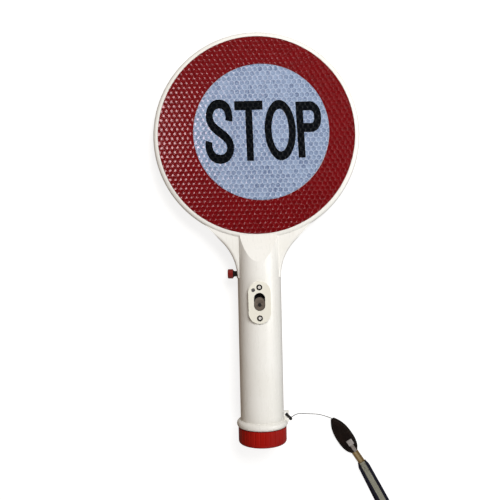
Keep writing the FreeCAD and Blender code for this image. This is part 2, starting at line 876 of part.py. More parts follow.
NUT_CORNER = 5.4
nut_points = []
for turn in range(0, 360, 60):
    a = math.radians(turn)
    height = "button_height + %.9f" % (NUT_CORNER * math.sin(a))
    nut_points.append(("%.9f" % (NUT_CORNER * math.cos(a)), height))
nut_blank = prism("NutBlank", nut_points, "1.6", SIDEWAYS)
nut_blank.Placement = FreeCAD.Placement(V(-11.72, 0, 0), FreeCAD.Rotation())
nut_hole = rod(None, "NutHole", "bush_radius + 0.02", 4, at_button("-10.5"), "-x")
nodes["push_nut"] = cut("push_nut", nut_blank, nut_hole)

push_case = body("push_body")
rod(push_case, "PushCase", 5, "bush_inner - 4.05", at_button("-4"), "-x")
rod(push_case, "PushCaseBore", "bush_bore", "bush_inner - 5", at_button("-5"), "-x", cut=True)
nodes["push_body"] = push_case

# ------------------------------------------------------------------ control board and buzzer
board = body("control_board")
block(
    board,
    "BoardBlank",
    ("board_width", "board_thickness", "board_top - board_base"),
    ("-board_width / 2", "-board_face", "board_base"),
)
nodes["control_board"] = board
buzzer = body("buzzer")
rod(buzzer, "BuzzerCase", 6, 5, (0, "-(board_face - board_thickness)", 96), "y")
rod(buzzer, "BuzzerPort", 1, 1, (0, "5 - (board_face - board_thickness) - 1", 96), "y", cut=True)
nodes["buzzer"] = buzzer

# ------------------------------------------------------------------ batteries
CARTRIDGE_LENGTH = "cartridge_top - cartridge_base"
cartridge = body("battery_cartridge")
rod(cartridge, "CartridgeBlank", "cartridge_radius", CARTRIDGE_LENGTH, (0, 0, "cartridge_base"))
cells = []
for i, turn in enumerate((90, 210, 330)):
    a = math.radians(turn)
    across, out = "cell_circle * %.9f" % math.cos(a), "cell_circle * %.9f" % math.sin(a)
    bay_length = CARTRIDGE_LENGTH + " - 4"
    bay = (across, out, "cartridge_base + 2")
    rod(cartridge, "CellBay%d" % i, "cell_radius + 0.15", bay_length, bay, cut=True)
    gap = (across + " * 1.5", out + " * 1.5", "cartridge_base + 2")
    rod(cartridge, "CellGap%d" % i, "cell_radius - 0.9", bay_length, gap, cut=True)
    cell = body("cell_%d" % i)
    seat = (across, out, "cartridge_base + 3")
    rod(cell, "CellCan%d" % i, "cell_radius", "cell_length - 1", seat)
    rod(cell, "CellTip%d" % i, 1.9, "cell_length", seat)
    cells.append(cell)
nodes["battery_cartridge"] = cartridge
nodes["aaa_cells"] = group("aaa_cells", cells)
pads = [
    rod(None, "PadLower", 4, 0.4, (0, 0, "cartridge_base - 0.4")),
    rod(None, "PadUpper", 4, 0.4, (0, 0, "cartridge_top")),
]
nodes["cartridge_contacts"] = group("cartridge_contacts", pads)
upper = body("upper_contact")
rod(upper, "UpperContactDisc", "handle_bore - 0.2", 0.8, (0, 0, "cartridge_top + 1.4"))
rod(upper, "UpperContactButton", 2.5, 0.95, (0, 0, "cartridge_top + 0.45"))
block(upper, "UpperContactNotch", (4, "3.4", 4), (12, "-1.7", "cartridge_top"), cut=True)
nodes["upper_contact"] = upper
strip = body("ground_strip")
for label, width, length, base in (("Bar", "strip_width", 64.2, 5), ("Tail", "strip_tail_width", 10.2, 69)):
    corner = ("strip_inner", "-%s / 2" % width, base)
    block(strip, "GroundStrip" + label, ("strip_thickness", width, length), corner)
nodes["ground_strip"] = strip

# ------------------------------------------------------------------ foot, seal and end cap
foot = body("FootBody")
collar = rod(foot, "Collar", "collar_radius", "handle_foot - collar_base", (0, 0, "collar_base"))
fillet(foot, collar, "CollarBead", "collar_round", lambda e: isinstance(e.Curve, Part.Circle))
rod(foot, "Sleeve", "sleeve_radius", "sleeve_top - collar_base - 1", (0, 0, "collar_base + 1"))
rod(foot, "Spigot", "spigot_radius", "collar_base + 1 - spigot_base", (0, 0, "spigot_base"))
block(
    foot,
    "Lug",
    ("lug_outer - lug_inner", "lug_thickness", "lug_top - collar_base - 3"),
    ("lug_inner", "-lug_thickness / 2", "collar_base + 3"),
)
rod(foot, "FootBore", "foot_bore", "overall_length", (0, 0, 0), cut=True)
rod(foot, "Eye", "eye_radius", 10, ("eye_offset", 5, "eye_height"), "-y", cut=True)
THREAD_TURN = FreeCAD.Rotation(V(0, 0, 1), 50)
male = feature(
    "FootThread",
    thread(number("spigot_radius - 0.15"), number("spigot_radius + thread_depth")),
    FreeCAD.Placement(V(0, 0, number("thread_start")), THREAD_TURN),
)
nodes["collar_ring"] = fuse("collar_ring", foot, male)
nodes["collar_ring"].Refine = False

seal = body("seal_ring")
rod(seal, "SealOuter", "seal_radius", "seal_height", (0, 0, "collar_base - seal_height"))
rod(seal, "SealInner", "spigot_radius", "seal_height", (0, 0, "collar_base - seal_height"), cut=True)
nodes["seal_ring"] = seal

cap = body("CapBody")
cap_blank = rod(cap, "CapBlank", "cap_radius", "cap_height")
fillet(cap, cap_blank, "CapEdge", "cap_round", is_circle_at(0, number("cap_radius")))
rod(cap, "CapBore", "cap_bore", "cap_height", (0, 0, "cap_floor"), cut=True)
flute = rod(cap, "Flute", "flute_radius", "cap_height", ("flute_centre", 0, "cap_round + 0.4"), cut=True)
flutes = cap.newObject("PartDesign::PolarPattern", "Flutes")
flutes.Originals = [flute]
cap_axis = [o for o in cap.Origin.OriginFeatures if o.Role == "Z_Axis"][0]
flutes.Axis = (cap_axis, [""])
flutes.Angle = 360
flutes.setExpression("Occurrences", formula("flute_count"))
cap.Tip = flutes
female = feature(
    "CapThread",
    thread(number("cap_bore + 0.15"), number("cap_bore - thread_depth")),
    FreeCAD.Placement(V(0, 0, number("thread_start - thread_pitch / 2")), THREAD_TURN),
)
nodes["end_cap"] = fuse("end_cap", cap, female)
nodes["end_cap"].Refine = False

contact = body("contact_disc")
rod(contact, "ContactDisc", "contact_radius", "contact_thickness", (0, 0, "contact_base"))
nodes["contact_disc"] = contact
spring_base = number("contact_base + contact_thickness") + 0.45
spring_rise = number("cartridge_base") - 0.4 - 0.35 - 0.45 - spring_base
nodes["battery_spring"] = feature(
    "battery_spring",
    coil(5, 0.4, 4.5, spring_rise),
    FreeCAD.Placement(V(0, 0, spring_base), FreeCAD.Rotation()),
)

# ------------------------------------------------------------------ hitch at the eye
doc.recompute()
hitch_turn = math.radians(number("hitch_turn"))
hitch_heading = V(math.cos(hitch_turn), 0, -math.sin(hitch_turn))
eye = V(number("eye_offset"), 0, number("eye_height"))
hitch_ring = Part.makeTorus(
    number("hitch_radius"),
    number("hitch_wire"),
    eye + hitch_heading * number("hitch_radius"),
    hitch_heading.cross(V(0, 1, 0)),
)
knot = eye + hitch_heading * number("knot_reach")
knot_ball = Part.makeSphere(number("knot_radius"), knot)
nodes["cord_hitch"] = feature("cord_hitch", hitch_ring.fuse(knot_ball))

# ------------------------------------------------------------------ laying the paddle down
drop = number("handle_radius - head_half")
run = number("overall_length - rim_round - slope_start")
lean = math.degrees(math.atan(drop / run))
lay = FreeCAD.Rotation(V(1, 0, 0), -(90 + lean))
doc.recompute()
laid = FreeCAD.Placement(V(), lay)
extent = FreeCAD.BoundBox()
for label in ("front_shell", "rear_shell", "collar_ring", "end_cap"):
    for point in nodes[label].Shape.tessellate(0.01)[0]:
        extent.add(laid.multVec(point))
shift = V(-extent.Center.x, -extent.Center.y, -extent.ZMin)
rest = FreeCAD.Placement(shift, lay)
for item in nodes.values():
    item.Placement = rest.multiply(item.Placement)
print("lean %.4f, shift %.4f %.4f %.4f" % (lean, shift.x, shift.y, shift.z))
print("size %.2f %.2f %.2f" % (extent.XLength, extent.YLength, extent.ZLength))

# ------------------------------------------------------------------ lanyard, where it lies
cord_start = rest.multVec(knot + V(0.72, 0, 0.69))
TAB_TIP = V(57, -148.8, 0)
heading = math.radians(number("tab_heading"))
ALONG = V(math.sin(heading), -math.cos(heading), 0)
ACROSS = V(math.cos(heading), math.sin(heading), 0)


def on_tab(along, across, height):
    """A point of the tab's own frame, which starts at its tip."""
    return TAB_TIP + ALONG * along + ACROSS * across + V(0, 0, height)


cord_points = [
    cord_start,
    V(26.8, -138.5, 18.6),
    V(36, -141.1, 12.2),
    V(48, -143.9, 5),
    on_tab(-0.1, 0, 1.7),
]
print("cord starts at %.2f %.2f %.2f" % tuple(cord_start))
nodes["lanyard_cord"] = feature(
    "lanyard_cord", tube("lanyard_cord", cord_points, number("cord_diameter"))
)

# The leaf's half width at distances along it.
LEAF = [
    (0, 0.9),
    (3.5, 3.5),
    (8, 5.6),
    (13, 6.6),
    (18, 6.9),
    (22, 6.8),
    (26, 6.2),
    (30, 4.7),
    (32.6, 2),
]
side = [on_tab(u, v, 0.15) for u, v in LEAF]
other = [on_tab(u, -v, 0.15) for u, v in LEAF]
leaf_edges = [
    Part.BSplineCurve(side).toShape(),
    Part.makeLine(side[-1], other[-1]),
    Part.BSplineCurve(other[::-1]).toShape(),
    Part.makeLine(other[0], side[0]),
]
thick = number("tab_thickness")


def tab_block(u, half_width, low, high, length):
    """A box in the tab's frame, from u along it."""
    base = [on_tab(u, v, low) for v in (-half_width, half_width)]
    base += [on_tab(u + length, v, low) for v in (half_width, -half_width)]
    return Part.Face(Part.makePolygon(base + base[:1])).extrude(V(0, 0, high - low))


leaf = Part.Face(Part.Wire(leaf_edges)).extrude(V(0, 0, thick - 0.15))
half_link = number("link_width") / 2
pocket = tab_block(21.2, half_link + 0.15, 1.2, 2.3, 14)
RIVET = on_tab(24, 1.2, 0)
shank_hole = Part.makeCylinder(1.1, 10, RIVET)
nodes["lanyard_tab"] = feature("lanyard_tab", leaf.cut(pocket).cut(shank_hole))

link = tab_block(21.5, half_link, 1.3, 2.2, 26.3).cut(shank_hole)
nodes["lanyard_link"] = feature("lanyard_link", link)

rivet_head = tab_block(21.6, 2.4, thick, thick + 0.7, 4.8)
rivet_head.translate(ACROSS * 1.2)
rivet_shank = Part.makeCylinder(1.05, thick - 0.1, RIVET + V(0, 0, 0.12))
nodes["tab_rivet"] = feature("tab_rivet", rivet_head.fuse(rivet_shank))

STRAP_START = on_tab(43.3, 0, 0)
bearing = math.radians(26.2)
DOWN = V(math.sin(bearing), -math.cos(bearing), 0)
SIDE = V(math.cos(bearing), math.sin(bearing), 0)
# How far the strap has gone down, to the side and up, at each of its turns.
STRAP = [
    (0, 0, 2.85),
    (29, 0.9, 3.05),
    (58, 1.6, 4.5),
    (96, 40, 5.2),
    (140, 24, 5.3),
    (140, -24, 5.3),
    (96, -40, 5.2),
    (58, -1.2, 0.9),
    (29, -0.5, 0.65),
    (0, 0, 0.65),
]
strap_points = [STRAP_START + DOWN * u + SIDE * v + V(0, 0, z) for u, v, z in STRAP]


def band(name, points, width, thickness):
    """A flat strap along a route, with its face up."""
    wire, length, radii = route(points, 3 * width)
    across = (points[1] - points[0]).cross(V(0, 0, 1)).normalize() * (width / 2)
    up = V(0, 0, thickness / 2)
    start = points[0]
    corners = [start - across - up, start + across - up, start + across + up, start - across + up]
    sweep = Part.BRepOffsetAPI.MakePipeShell(wire)
    sweep.setBiNormalMode(V(0, 0, 1))
    sweep.add(Part.Wire(Part.makePolygon(corners + corners[:1]).Edges))
    sweep.build()
    sweep.makeSolid()
    shape = sweep.shape()
    print(
        "%s: length %.1f, radii %s, volume %.1f of %.1f"
        % (name, length, ["%.1f" % r for r in radii], shape.Volume, width * thickness * length)
    )
    return shape


nodes["lanyard_strap"] = feature(
    "lanyard_strap",
    band("lanyard_strap", strap_points, number("strap_width"), number("strap_thickness")),
)

# ------------------------------------------------------------------ checks and export
for label, item in nodes.items():
    item.Label = label
doc.recompute()
for item in doc.Objects:
    if "Invalid" in item.State or "Error" in item.State:
        raise RuntimeError("%s is %s" % (item.Name, item.State))
os.makedirs("parts", exist_ok=True)
for label, item in nodes.items():
    shape = item.Shape
    if shape.isNull() or not shape.isValid() or shape.Volume <= 0:
        raise RuntimeError("%s has no sound shape" % label)
    shape.exportStep("parts/%s.step" % label)
    print("%-20s solids %2d volume %10.2f" % (label, len(shape.Solids), shape.Volume))
print("%d parts" % len(nodes))
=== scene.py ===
"""Looks for the lighted stop slow paddle: finishes for the CAD parts, embossed sheets and the lanyard."""
import json
import math

import bmesh
import bpy
import numpy as np
from mathutils import Matrix, Vector
from mathutils.geometry import delaunay_2d_cdt


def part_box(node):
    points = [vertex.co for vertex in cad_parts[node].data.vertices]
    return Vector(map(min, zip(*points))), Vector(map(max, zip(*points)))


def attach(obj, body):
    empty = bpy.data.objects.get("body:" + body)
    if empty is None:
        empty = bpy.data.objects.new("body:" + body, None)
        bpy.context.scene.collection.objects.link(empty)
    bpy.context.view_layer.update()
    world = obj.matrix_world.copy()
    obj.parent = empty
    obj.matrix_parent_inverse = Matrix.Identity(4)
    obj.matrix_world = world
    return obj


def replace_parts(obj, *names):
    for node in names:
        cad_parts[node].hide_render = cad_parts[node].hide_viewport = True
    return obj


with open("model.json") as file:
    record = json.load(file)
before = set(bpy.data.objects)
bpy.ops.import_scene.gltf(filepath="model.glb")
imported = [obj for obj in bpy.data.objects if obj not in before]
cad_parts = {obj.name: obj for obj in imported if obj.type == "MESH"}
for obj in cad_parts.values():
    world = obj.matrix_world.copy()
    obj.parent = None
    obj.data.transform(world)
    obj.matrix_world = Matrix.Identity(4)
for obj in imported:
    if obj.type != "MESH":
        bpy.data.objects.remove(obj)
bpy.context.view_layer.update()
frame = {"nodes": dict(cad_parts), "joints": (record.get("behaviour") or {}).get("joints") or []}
NODES = frame["nodes"]
MM = 0.001

# The paddle's own axes, in the row frame: X to the right, OUT of the sign's front, UP the handle.
cap_turn = next(joint for joint in frame["joints"] if joint["name"] == "cap_turn")
FOOT = Vector(cap_turn["pos_m"])
UP = -Vector(cap_turn["axis"])
OUT = Vector((0, -UP.z, UP.y))
RIGHT = Vector((1, 0, 0))
FRONT, REAR = 1, -1


def place(right, out, up):
    """A point of the paddle, given along its own axes in mm, in the row frame."""
    return FOOT + (RIGHT * right + OUT * out + UP * up) * MM


def own(node):
    """A CAD node's vertices along the paddle's own axes, in mm."""
    flat = np.empty(len(NODES[node].data.vertices) * 3)
    NODES[node].data.vertices.foreach_get("co", flat)
    away = (flat.reshape(-1, 3) - np.array(FOOT)) / MM
    return away @ np.array([RIGHT, OUT, UP]).T


# ------------------------------------------------------------------ finishes
class Finish:
    """A node material, built up on the object's own coordinates."""

    def __init__(self, name, **sockets):
        self.material = bpy.data.materials.new(name)
        self.material.use_nodes = True
        self.tree = self.material.node_tree
        self.shader = self.tree.nodes["Principled BSDF"]
        for socket, value in sockets.items():
            self.shader.inputs[socket.replace("_", " ")].default_value = value
        self.where = self.node("TexCoord").outputs["Object"]

    def node(self, kind, settings=(), **sockets):
        made = self.tree.nodes.new("ShaderNode" + kind)
        for key, value in dict(settings).items():
            setattr(made, key, value)
        for socket, value in sockets.items():
            self.feed(made.inputs[socket.replace("_", " ")], value)
        return made

    def feed(self, socket, value):
        if isinstance(value, bpy.types.NodeSocket):
            self.tree.links.new(value, socket)
        else:
            socket.default_value = value

    def attribute(self, name):
        return self.node("Attribute", {"attribute_name": name}).outputs["Fac"]

    def noise(self, scale, detail=3.0, roughness=0.55, stretch=(1, 1, 1)):
        """Noise of so many waves a metre, from 0 to 1."""
        spread = self.node("Mapping", Vector=self.where, Scale=stretch).outputs["Vector"]
        made = self.node("TexNoise", Vector=spread, Scale=scale, Detail=detail, Roughness=roughness)
        return made.outputs["Fac"]

    def span(self, value, low, high, to_low=0.0, to_high=1.0):
        """A value stretched from one range to another and kept inside it."""
        made = self.node("MapRange", {"clamp": True}, Value=value)
        for index, number in enumerate((low, high, to_low, to_high), start=1):
            made.inputs[index].default_value = number
        return made.outputs["Result"]

    def maths(self, operation, *values):
        made = self.node("Math", {"operation": operation})
        for socket, value in zip(made.inputs, values):
            self.feed(socket, value)
        return made.outputs["Value"]

    def mix(self, factor, one, two):
        """One colour turned into another, by a factor from 0 to 1."""
        made = self.node("Mix", {"data_type": "RGBA"})
        self.feed(made.inputs["Factor"], factor)
        for socket, colour in (("A", one), ("B", two)):
            inputs = [i for i in made.inputs if i.name == socket and i.type == "RGBA"]
            self.feed(inputs[0], (*colour, 1) if isinstance(colour, tuple) else colour)
        return [o for o in made.outputs if o.type == "RGBA"][0]

    def set(self, socket, value):
        self.feed(self.shader.inputs[socket], value)

    def bump(self, height, distance):
        """Adds a relief, whose full height is a distance in metres, to what is already there."""
        normal = self.shader.inputs["Normal"]
        made = self.node("Bump", Height=height, Distance=distance, Strength=1.0)
        if normal.is_linked:
            self.feed(made.inputs["Normal"], normal.links[0].from_socket)
        self.feed(normal, made.outputs["Normal"])


def moulded(name, base, shade, rough, **sockets):
    """Moulded plastic or rubber: slow changes of tone, orange peel, fine grain and handling marks."""
    finish = Finish(name, **sockets)
    tone = finish.span(finish.noise(30), 0.35, 0.65)
    finish.set("Base Color", finish.mix(tone, base, shade))
    marks = finish.noise(420, detail=6, stretch=(1, 0.22, 1))
    finish.set("Roughness", finish.span(marks, 0.3, 0.7, *rough))
    finish.bump(finish.noise(260, detail=2), 0.00003)
    finish.bump(finish.noise(2600, detail=2), 0.000008)
    return finish.material


def sheeting(name, base, deep, seal, glint, **sockets):
    """Prismatic sheet: tone changes from cell to cell, paler seams, and tiny prisms inside the cells."""
    finish = Finish(name, **sockets)
    cell = finish.attribute("cell")
    prisms = finish.node("TexVoronoi", Vector=finish.where, Scale=950.0).outputs["Distance"]
    speck = finish.span(prisms, 0.15, 0.6)
    tone = finish.maths("MULTIPLY", finish.span(cell, 0, 1, 0.35, 1), speck)
    inner = finish.mix(tone, base, deep)
    seam = finish.span(finish.attribute("seal"), 0.15, 0.8)
    finish.set("Base Color", finish.mix(seam, inner, seal))
    finish.set("Roughness", finish.span(finish.noise(700), 0.3, 0.7, *glint))
    finish.bump(prisms, 0.00002)
    finish.bump(finish.noise(60, detail=2), 0.00012)
    return finish.material


def metal(name, base, worn, rough, shine=1.0):
    """Metal with fine brushing. A dull lacquer takes some of its shine."""
    finish = Finish(name, Metallic=shine)
    brushed = finish.noise(1500, detail=5)
    finish.set("Base Color", finish.mix(finish.span(brushed, 0.35, 0.7), base, worn))
    finish.set("Roughness", finish.span(finish.noise(300, detail=5), 0.3, 0.7, *rough))
    finish.bump(brushed, 0.00001)
    return finish.material


def shell_plastic():
    """Glossy white plastic, a little yellowed and soiled where the hand goes."""
    finish = Finish("white_plastic", Coat_Weight=0.25, Coat_Roughness=0.12)
    tone = finish.span(finish.noise(22), 0.35, 0.65)
    clean = finish.mix(tone, (0.83, 0.822, 0.79), (0.79, 0.778, 0.735))
    soil = finish.span(finish.noise(140, detail=8, roughness=0.7), 0.58, 0.8, 0, 0.35)
    finish.set("Base Color", finish.mix(soil, clean, (0.62, 0.585, 0.52)))
    marks = finish.noise(380, detail=7, stretch=(1, 0.18, 1))
    finish.set("Roughness", finish.span(marks, 0.3, 0.75, 0.22, 0.4))
    finish.bump(finish.noise(150, detail=2), 0.00004)
    finish.bump(finish.noise(2400, detail=2), 0.000006)
    return finish.material


def board():
    """Green solder mask with paler copper runs under it."""
    finish = Finish("board_green", Coat_Weight=0.4, Coat_Roughness=0.2)
    runs = finish.node("TexVoronoi", {"distance": "MANHATTAN", "feature": "DISTANCE_TO_EDGE"})
    finish.feed(runs.inputs["Vector"], finish.where)
    finish.feed(runs.inputs["Scale"], 260.0)
    track = finish.span(runs.outputs["Distance"], 0.04, 0.1)
    finish.set("Base Color", finish.mix(track, (0.05, 0.27, 0.1), (0.018, 0.11, 0.045)))
    finish.set("Roughness", finish.span(finish.noise(500), 0.3, 0.7, 0.35, 0.55))
    finish.bump(track, 0.00003)
    return finish.material


def lens(name, tint, transmission):
    """Moulded lamp plastic, clear or tinted, with faint flow marks."""
    finish = Finish(name, Transmission_Weight=transmission, IOR=1.49)
    finish.set("Base Color", finish.mix(finish.noise(300), tint, tuple(c * 0.7 for c in tint)))
    finish.set("Roughness", finish.span(finish.noise(600), 0.3, 0.7, 0.06, 0.16))
    finish.bump(finish.noise(900), 0.00001)
    return finish.material


def leather():
    """Black leather with creased grain, darker in its creases as painted shade, paler and smoother where it
    has been handled.
    """
    finish = Finish("tab_leather", Specular_IOR_Level=0.15)
    pores = finish.node("TexVoronoi", {"feature": "DISTANCE_TO_EDGE"}, Vector=finish.where, Scale=1100.0)
    crease_relief_and_shade = finish.span(pores.outputs["Distance"], 0.0, 0.22)
    tone = finish.span(finish.noise(160, detail=6), 0.3, 0.75)
    worn = finish.mix(tone, (0.004, 0.0025, 0.002), (0.018, 0.009, 0.006))
    # Painted shade: the grain's creases are darkened almost to black.
    finish.set("Base Color", finish.mix(crease_relief_and_shade, (0.003, 0.002, 0.002), worn))
    finish.set("Roughness", finish.span(finish.noise(500, detail=5), 0.3, 0.7, 0.34, 0.6))
    finish.bump(crease_relief_and_shade, 0.00009)
    finish.bump(finish.noise(120, detail=4), 0.00025)
    return finish.material


def yarn(name, tones, pitch):
    """Woven or twisted thread with lint. The tones are the hollows' painted shade, the crowns' painted
    highlight and the lint's.
    """
    finish = Finish(name)
    weave_shading = finish.attribute("relief")
    # Painted shade and highlight: the hollows darker and the crowns paler, by the relief.
    shaded_hue = finish.mix(finish.span(weave_shading, 0.1, 0.9), tones[0], tones[1])
    fibres = finish.noise(1 / (pitch * MM), detail=6, roughness=0.7)
    lint = finish.span(fibres, 0.55, 0.8, 0, 0.5)
    finish.set("Base Color", finish.mix(lint, shaded_hue, tones[2]))
    finish.set("Roughness", finish.span(fibres, 0.3, 0.7, 0.7, 0.95))
    finish.bump(fibres, pitch * 0.12 * MM)
    return finish


def striped_yarn(name, border, stripe, half):
    """A weave with a stripe down its middle, of so many mm each side. Tones are as for yarn, with painted
    shade in the hollows and painted highlight on the crowns. The strap's stripe is its own colour; the
    ribbon's is a painted highlight.
    """
    finish = yarn(name, border, 0.25)
    across = finish.maths("ABSOLUTE", finish.attribute("across"))
    wander = finish.span(finish.noise(500), 0.2, 0.8, -0.12, 0.12)
    inside = finish.span(finish.maths("ADD", across, wander), half - 0.15, half + 0.15, 1, 0)
    relief = finish.span(finish.attribute("relief"), 0.1, 0.9)
    # Painted shade in the stripe's hollows and painted highlight on its crowns.
    pale = finish.mix(relief, stripe[0], stripe[1])
    pale = finish.mix(finish.span(finish.noise(1500, detail=5), 0.5, 0.8, 0, 0.6), pale, stripe[2])
    dark = finish.shader.inputs["Base Color"].links[0].from_socket
    finish.set("Base Color", finish.mix(inside, dark, pale))
    return finish.material


# How much of its metallic shine a lacquered or dulled metal keeps
LACQUER = 0.25

LOOKS = {
    "white_plastic": shell_plastic(),
    "red_sheet": sheeting(
        "red_sheet",
        (0.16, 0.003, 0.005),
        (0.11, 0.002, 0.003),
        (0.165, 0.004, 0.006),
        (0.16, 0.3),
        Coat_Weight=0.35,
        Coat_Roughness=0.1,
        Specular_IOR_Level=0.25,
    ),
    "white_sheet": sheeting(
        "white_sheet",
        (0.275, 0.355, 0.505),
        (0.115, 0.16, 0.27),
        (0.375, 0.445, 0.585),
        (0.2, 0.36),
        Coat_Weight=0.5,
        Coat_Roughness=0.12,
    ),
    "black_ink": sheeting(
        "black_ink",
        (0.003, 0.004, 0.006),
        (0.0015, 0.002, 0.003),
        (0.006, 0.008, 0.009),
        (0.18, 0.32),
        Coat_Weight=0.3,
        Coat_Roughness=0.12,
        Specular_IOR_Level=0.25,
    ),
    "cream_plastic": moulded(
        "cream_plastic", (0.80, 0.785, 0.70), (0.75, 0.73, 0.64), (0.25, 0.4), Coat_Weight=0.2
    ),
    "red_plastic": moulded(
        "red_plastic", (0.34, 0.008, 0.004), (0.24, 0.005, 0.003), (0.3, 0.5), Specular_IOR_Level=0.2
    ),
    "button_red": moulded(
        "button_red", (0.24, 0.022, 0.018), (0.15, 0.01, 0.009), (0.24, 0.4), Specular_IOR_Level=0.6
    ),
    "black_plastic": moulded("black_plastic", (0.016, 0.015, 0.014), (0.01, 0.009, 0.009), (0.4, 0.6)),
    "grey_plastic": moulded("grey_plastic", (0.155, 0.128, 0.105), (0.105, 0.085, 0.068), (0.38, 0.58)),
    "steel": metal("steel", (0.60, 0.60, 0.59), (0.42, 0.42, 0.41), (0.22, 0.42)),
    "brass": metal("brass", (0.72, 0.53, 0.25), (0.55, 0.38, 0.17), (0.22, 0.42)),
    "board_green": board(),
    "red_lens": lens("red_lens", (0.72, 0.03, 0.02), 0.4),
    "smoke_lens": lens("smoke_lens", (0.16, 0.15, 0.15), 0.3),
    "wire_red": moulded("wire_red", (0.42, 0.02, 0.02), (0.3, 0.015, 0.015), (0.35, 0.5)),
    "cell_wrap": moulded("cell_wrap", (0.05, 0.06, 0.085), (0.03, 0.038, 0.055), (0.22, 0.35)),
    "seal_rubber": moulded("seal_rubber", (0.03, 0.03, 0.03), (0.02, 0.02, 0.02), (0.6, 0.8)),
    # The yarn looks' first two tones are painted shade in the hollows and painted highlight on the crowns.
    "cord_black": yarn(
        "cord_black", ((0.004, 0.004, 0.004), (0.014, 0.013, 0.013), (0.05, 0.045, 0.04)), 0.2
    ).material,
    "tab_leather": leather(),
    # The ribbon's paler stripe down its middle is a painted highlight.
    "link_cloth": striped_yarn(
        "link_cloth",
        ((0.05, 0.03, 0.01), (0.2, 0.125, 0.045), (0.32, 0.23, 0.11)),
        ((0.12, 0.085, 0.04), (0.36, 0.27, 0.14), (0.5, 0.42, 0.28)),
        1.0,
    ),
    "rivet_silver": metal("rivet_silver", (0.40, 0.375, 0.36), (0.29, 0.265, 0.25), (0.4, 0.6), LACQUER),
    "tongue_silver": metal("tongue_silver", (0.3, 0.27, 0.25), (0.14, 0.12, 0.105), (0.4, 0.6), LACQUER),
    # Painted highlight: pale, dull steel for the screw sockets, in place of their shine.
    "painted_highlight_socket": metal("painted_highlight_socket", (0.82, 0.80, 0.76), (0.6, 0.58, 0.55), (0.3, 0.45), LACQUER),
    "strap_cloth": striped_yarn(
        "strap_cloth",
        ((0.002, 0.002, 0.006), (0.005, 0.005, 0.015), (0.02, 0.02, 0.035)),
        ((0.12, 0.118, 0.09), (0.28, 0.278, 0.225), (0.42, 0.415, 0.35)),
        2.1,
    ),
    # Painted shade: a dark finish for the screw rims, for the shade in the counterbores.
    "painted_shade_rim": metal("painted_shade_rim", (0.05, 0.048, 0.04), (0.1, 0.095, 0.08), (0.35, 0.5)),
    "stitch_thread": yarn(
        "stitch_thread", ((0.02, 0.016, 0.013), (0.07, 0.055, 0.045), (0.12, 0.1, 0.09)), 0.15
    ).material,
}

CAD_LOOKS = {
    "white_plastic": ["front_shell", "rear_shell", "collar_ring"],
    "cream_plastic": ["switch_plate"],
    "red_plastic": ["end_cap"],
    "button_red": ["push_cap"],
    "black_plastic": [
        "push_stem",
        "push_bush",
        "push_body",
        "slide_switch_body",
        "buzzer",
        "battery_cartridge",
    ],
    "grey_plastic": ["switch_slider"],
    "steel": [
        "plate_screws",
        "head_screws",
        "handle_screws",
        "push_nut",
        "button_spring",
        "battery_spring",
        "contact_disc",
        "ground_strip",
    ],
    "brass": ["cartridge_contacts", "upper_contact"],
    "board_green": ["led_board", "control_board"],
    "red_lens": ["front_leds", "rear_leds"],
    "smoke_lens": ["indicator_led"],
    "wire_red": ["led_leads", "battery_leads"],
    "cell_wrap": ["aaa_cells"],
    "seal_rubber": ["seal_ring"],
}
for look, names in CAD_LOOKS.items():
    for name in names:
        NODES[name].data.materials.clear()
        NODES[name].data.materials.append(LOOKS[look])


# ------------------------------------------------------------------ making pieces
def piece(name, vertices, faces, look, numbers=None, slot=None, body="paddle"):
    """A smooth mesh of the paddle, in the row frame in metres. Numbers are its named attributes."""
    mesh = bpy.data.meshes.new(name)
    mesh.from_pydata([tuple(v) for v in vertices], [], [tuple(int(i) for i in f) for f in faces])
    for label, (domain, values) in (numbers or {}).items():
        attribute = mesh.attributes.new(label, "FLOAT", domain)
        attribute.data.foreach_set("value", np.asarray(values, np.float32))
    mesh.polygons.foreach_set("use_smooth", [True] * len(mesh.polygons))
    mesh.materials.append(LOOKS[look])
    made = bpy.data.objects.new(name, mesh)
    bpy.context.scene.collection.objects.link(made)
    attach(made, body)
    return made


# ------------------------------------------------------------------ embossed sheets
# Sizes are in mm: the cells' width across their flats, and the raised seams between them.
PITCH = 4.0
ROW = PITCH * 3**0.5
CORNER = PITCH / 3**0.5
SEAM_HALF = 0.45
SEAM_HEIGHT = 0.19
INSETS = (0.0, 0.13, 0.3, SEAM_HALF)
SHARP_EDGE = math.radians(50)
SIDES = np.array([(math.cos(a), math.sin(a)) for a in (0, math.pi / 3, 2 * math.pi / 3)])


def cell_centres(points):
    """The centre of the honeycomb cell that each point is in."""
    step = np.array([PITCH, ROW])
    even = np.round(points / step) * step
    odd = (np.round(points / step - 0.5) + 0.5) * step
    nearer = ((points - even) ** 2).sum(1) < ((points - odd) ** 2).sum(1)
    return np.where(nearer[:, None], even, odd)


def cell_tone(points):
    """A number from 0 to 1 for the cell that each point is in, with no pattern from cell to cell."""
    scattered = np.sin(cell_centres(points) @ np.array([12.9898, 78.233])) * 43758.5453
    return np.mod(scattered, 1)


def seam(points):
    """1 on a seam between cells, falling smoothly to 0 at its edge."""
    inward = PITCH / 2 - np.abs((points - cell_centres(points)) @ SIDES.T).max(1)
    rise = np.clip(1 - inward / SEAM_HALF, 0, 1)
    return rise * rise * (3 - 2 * rise)


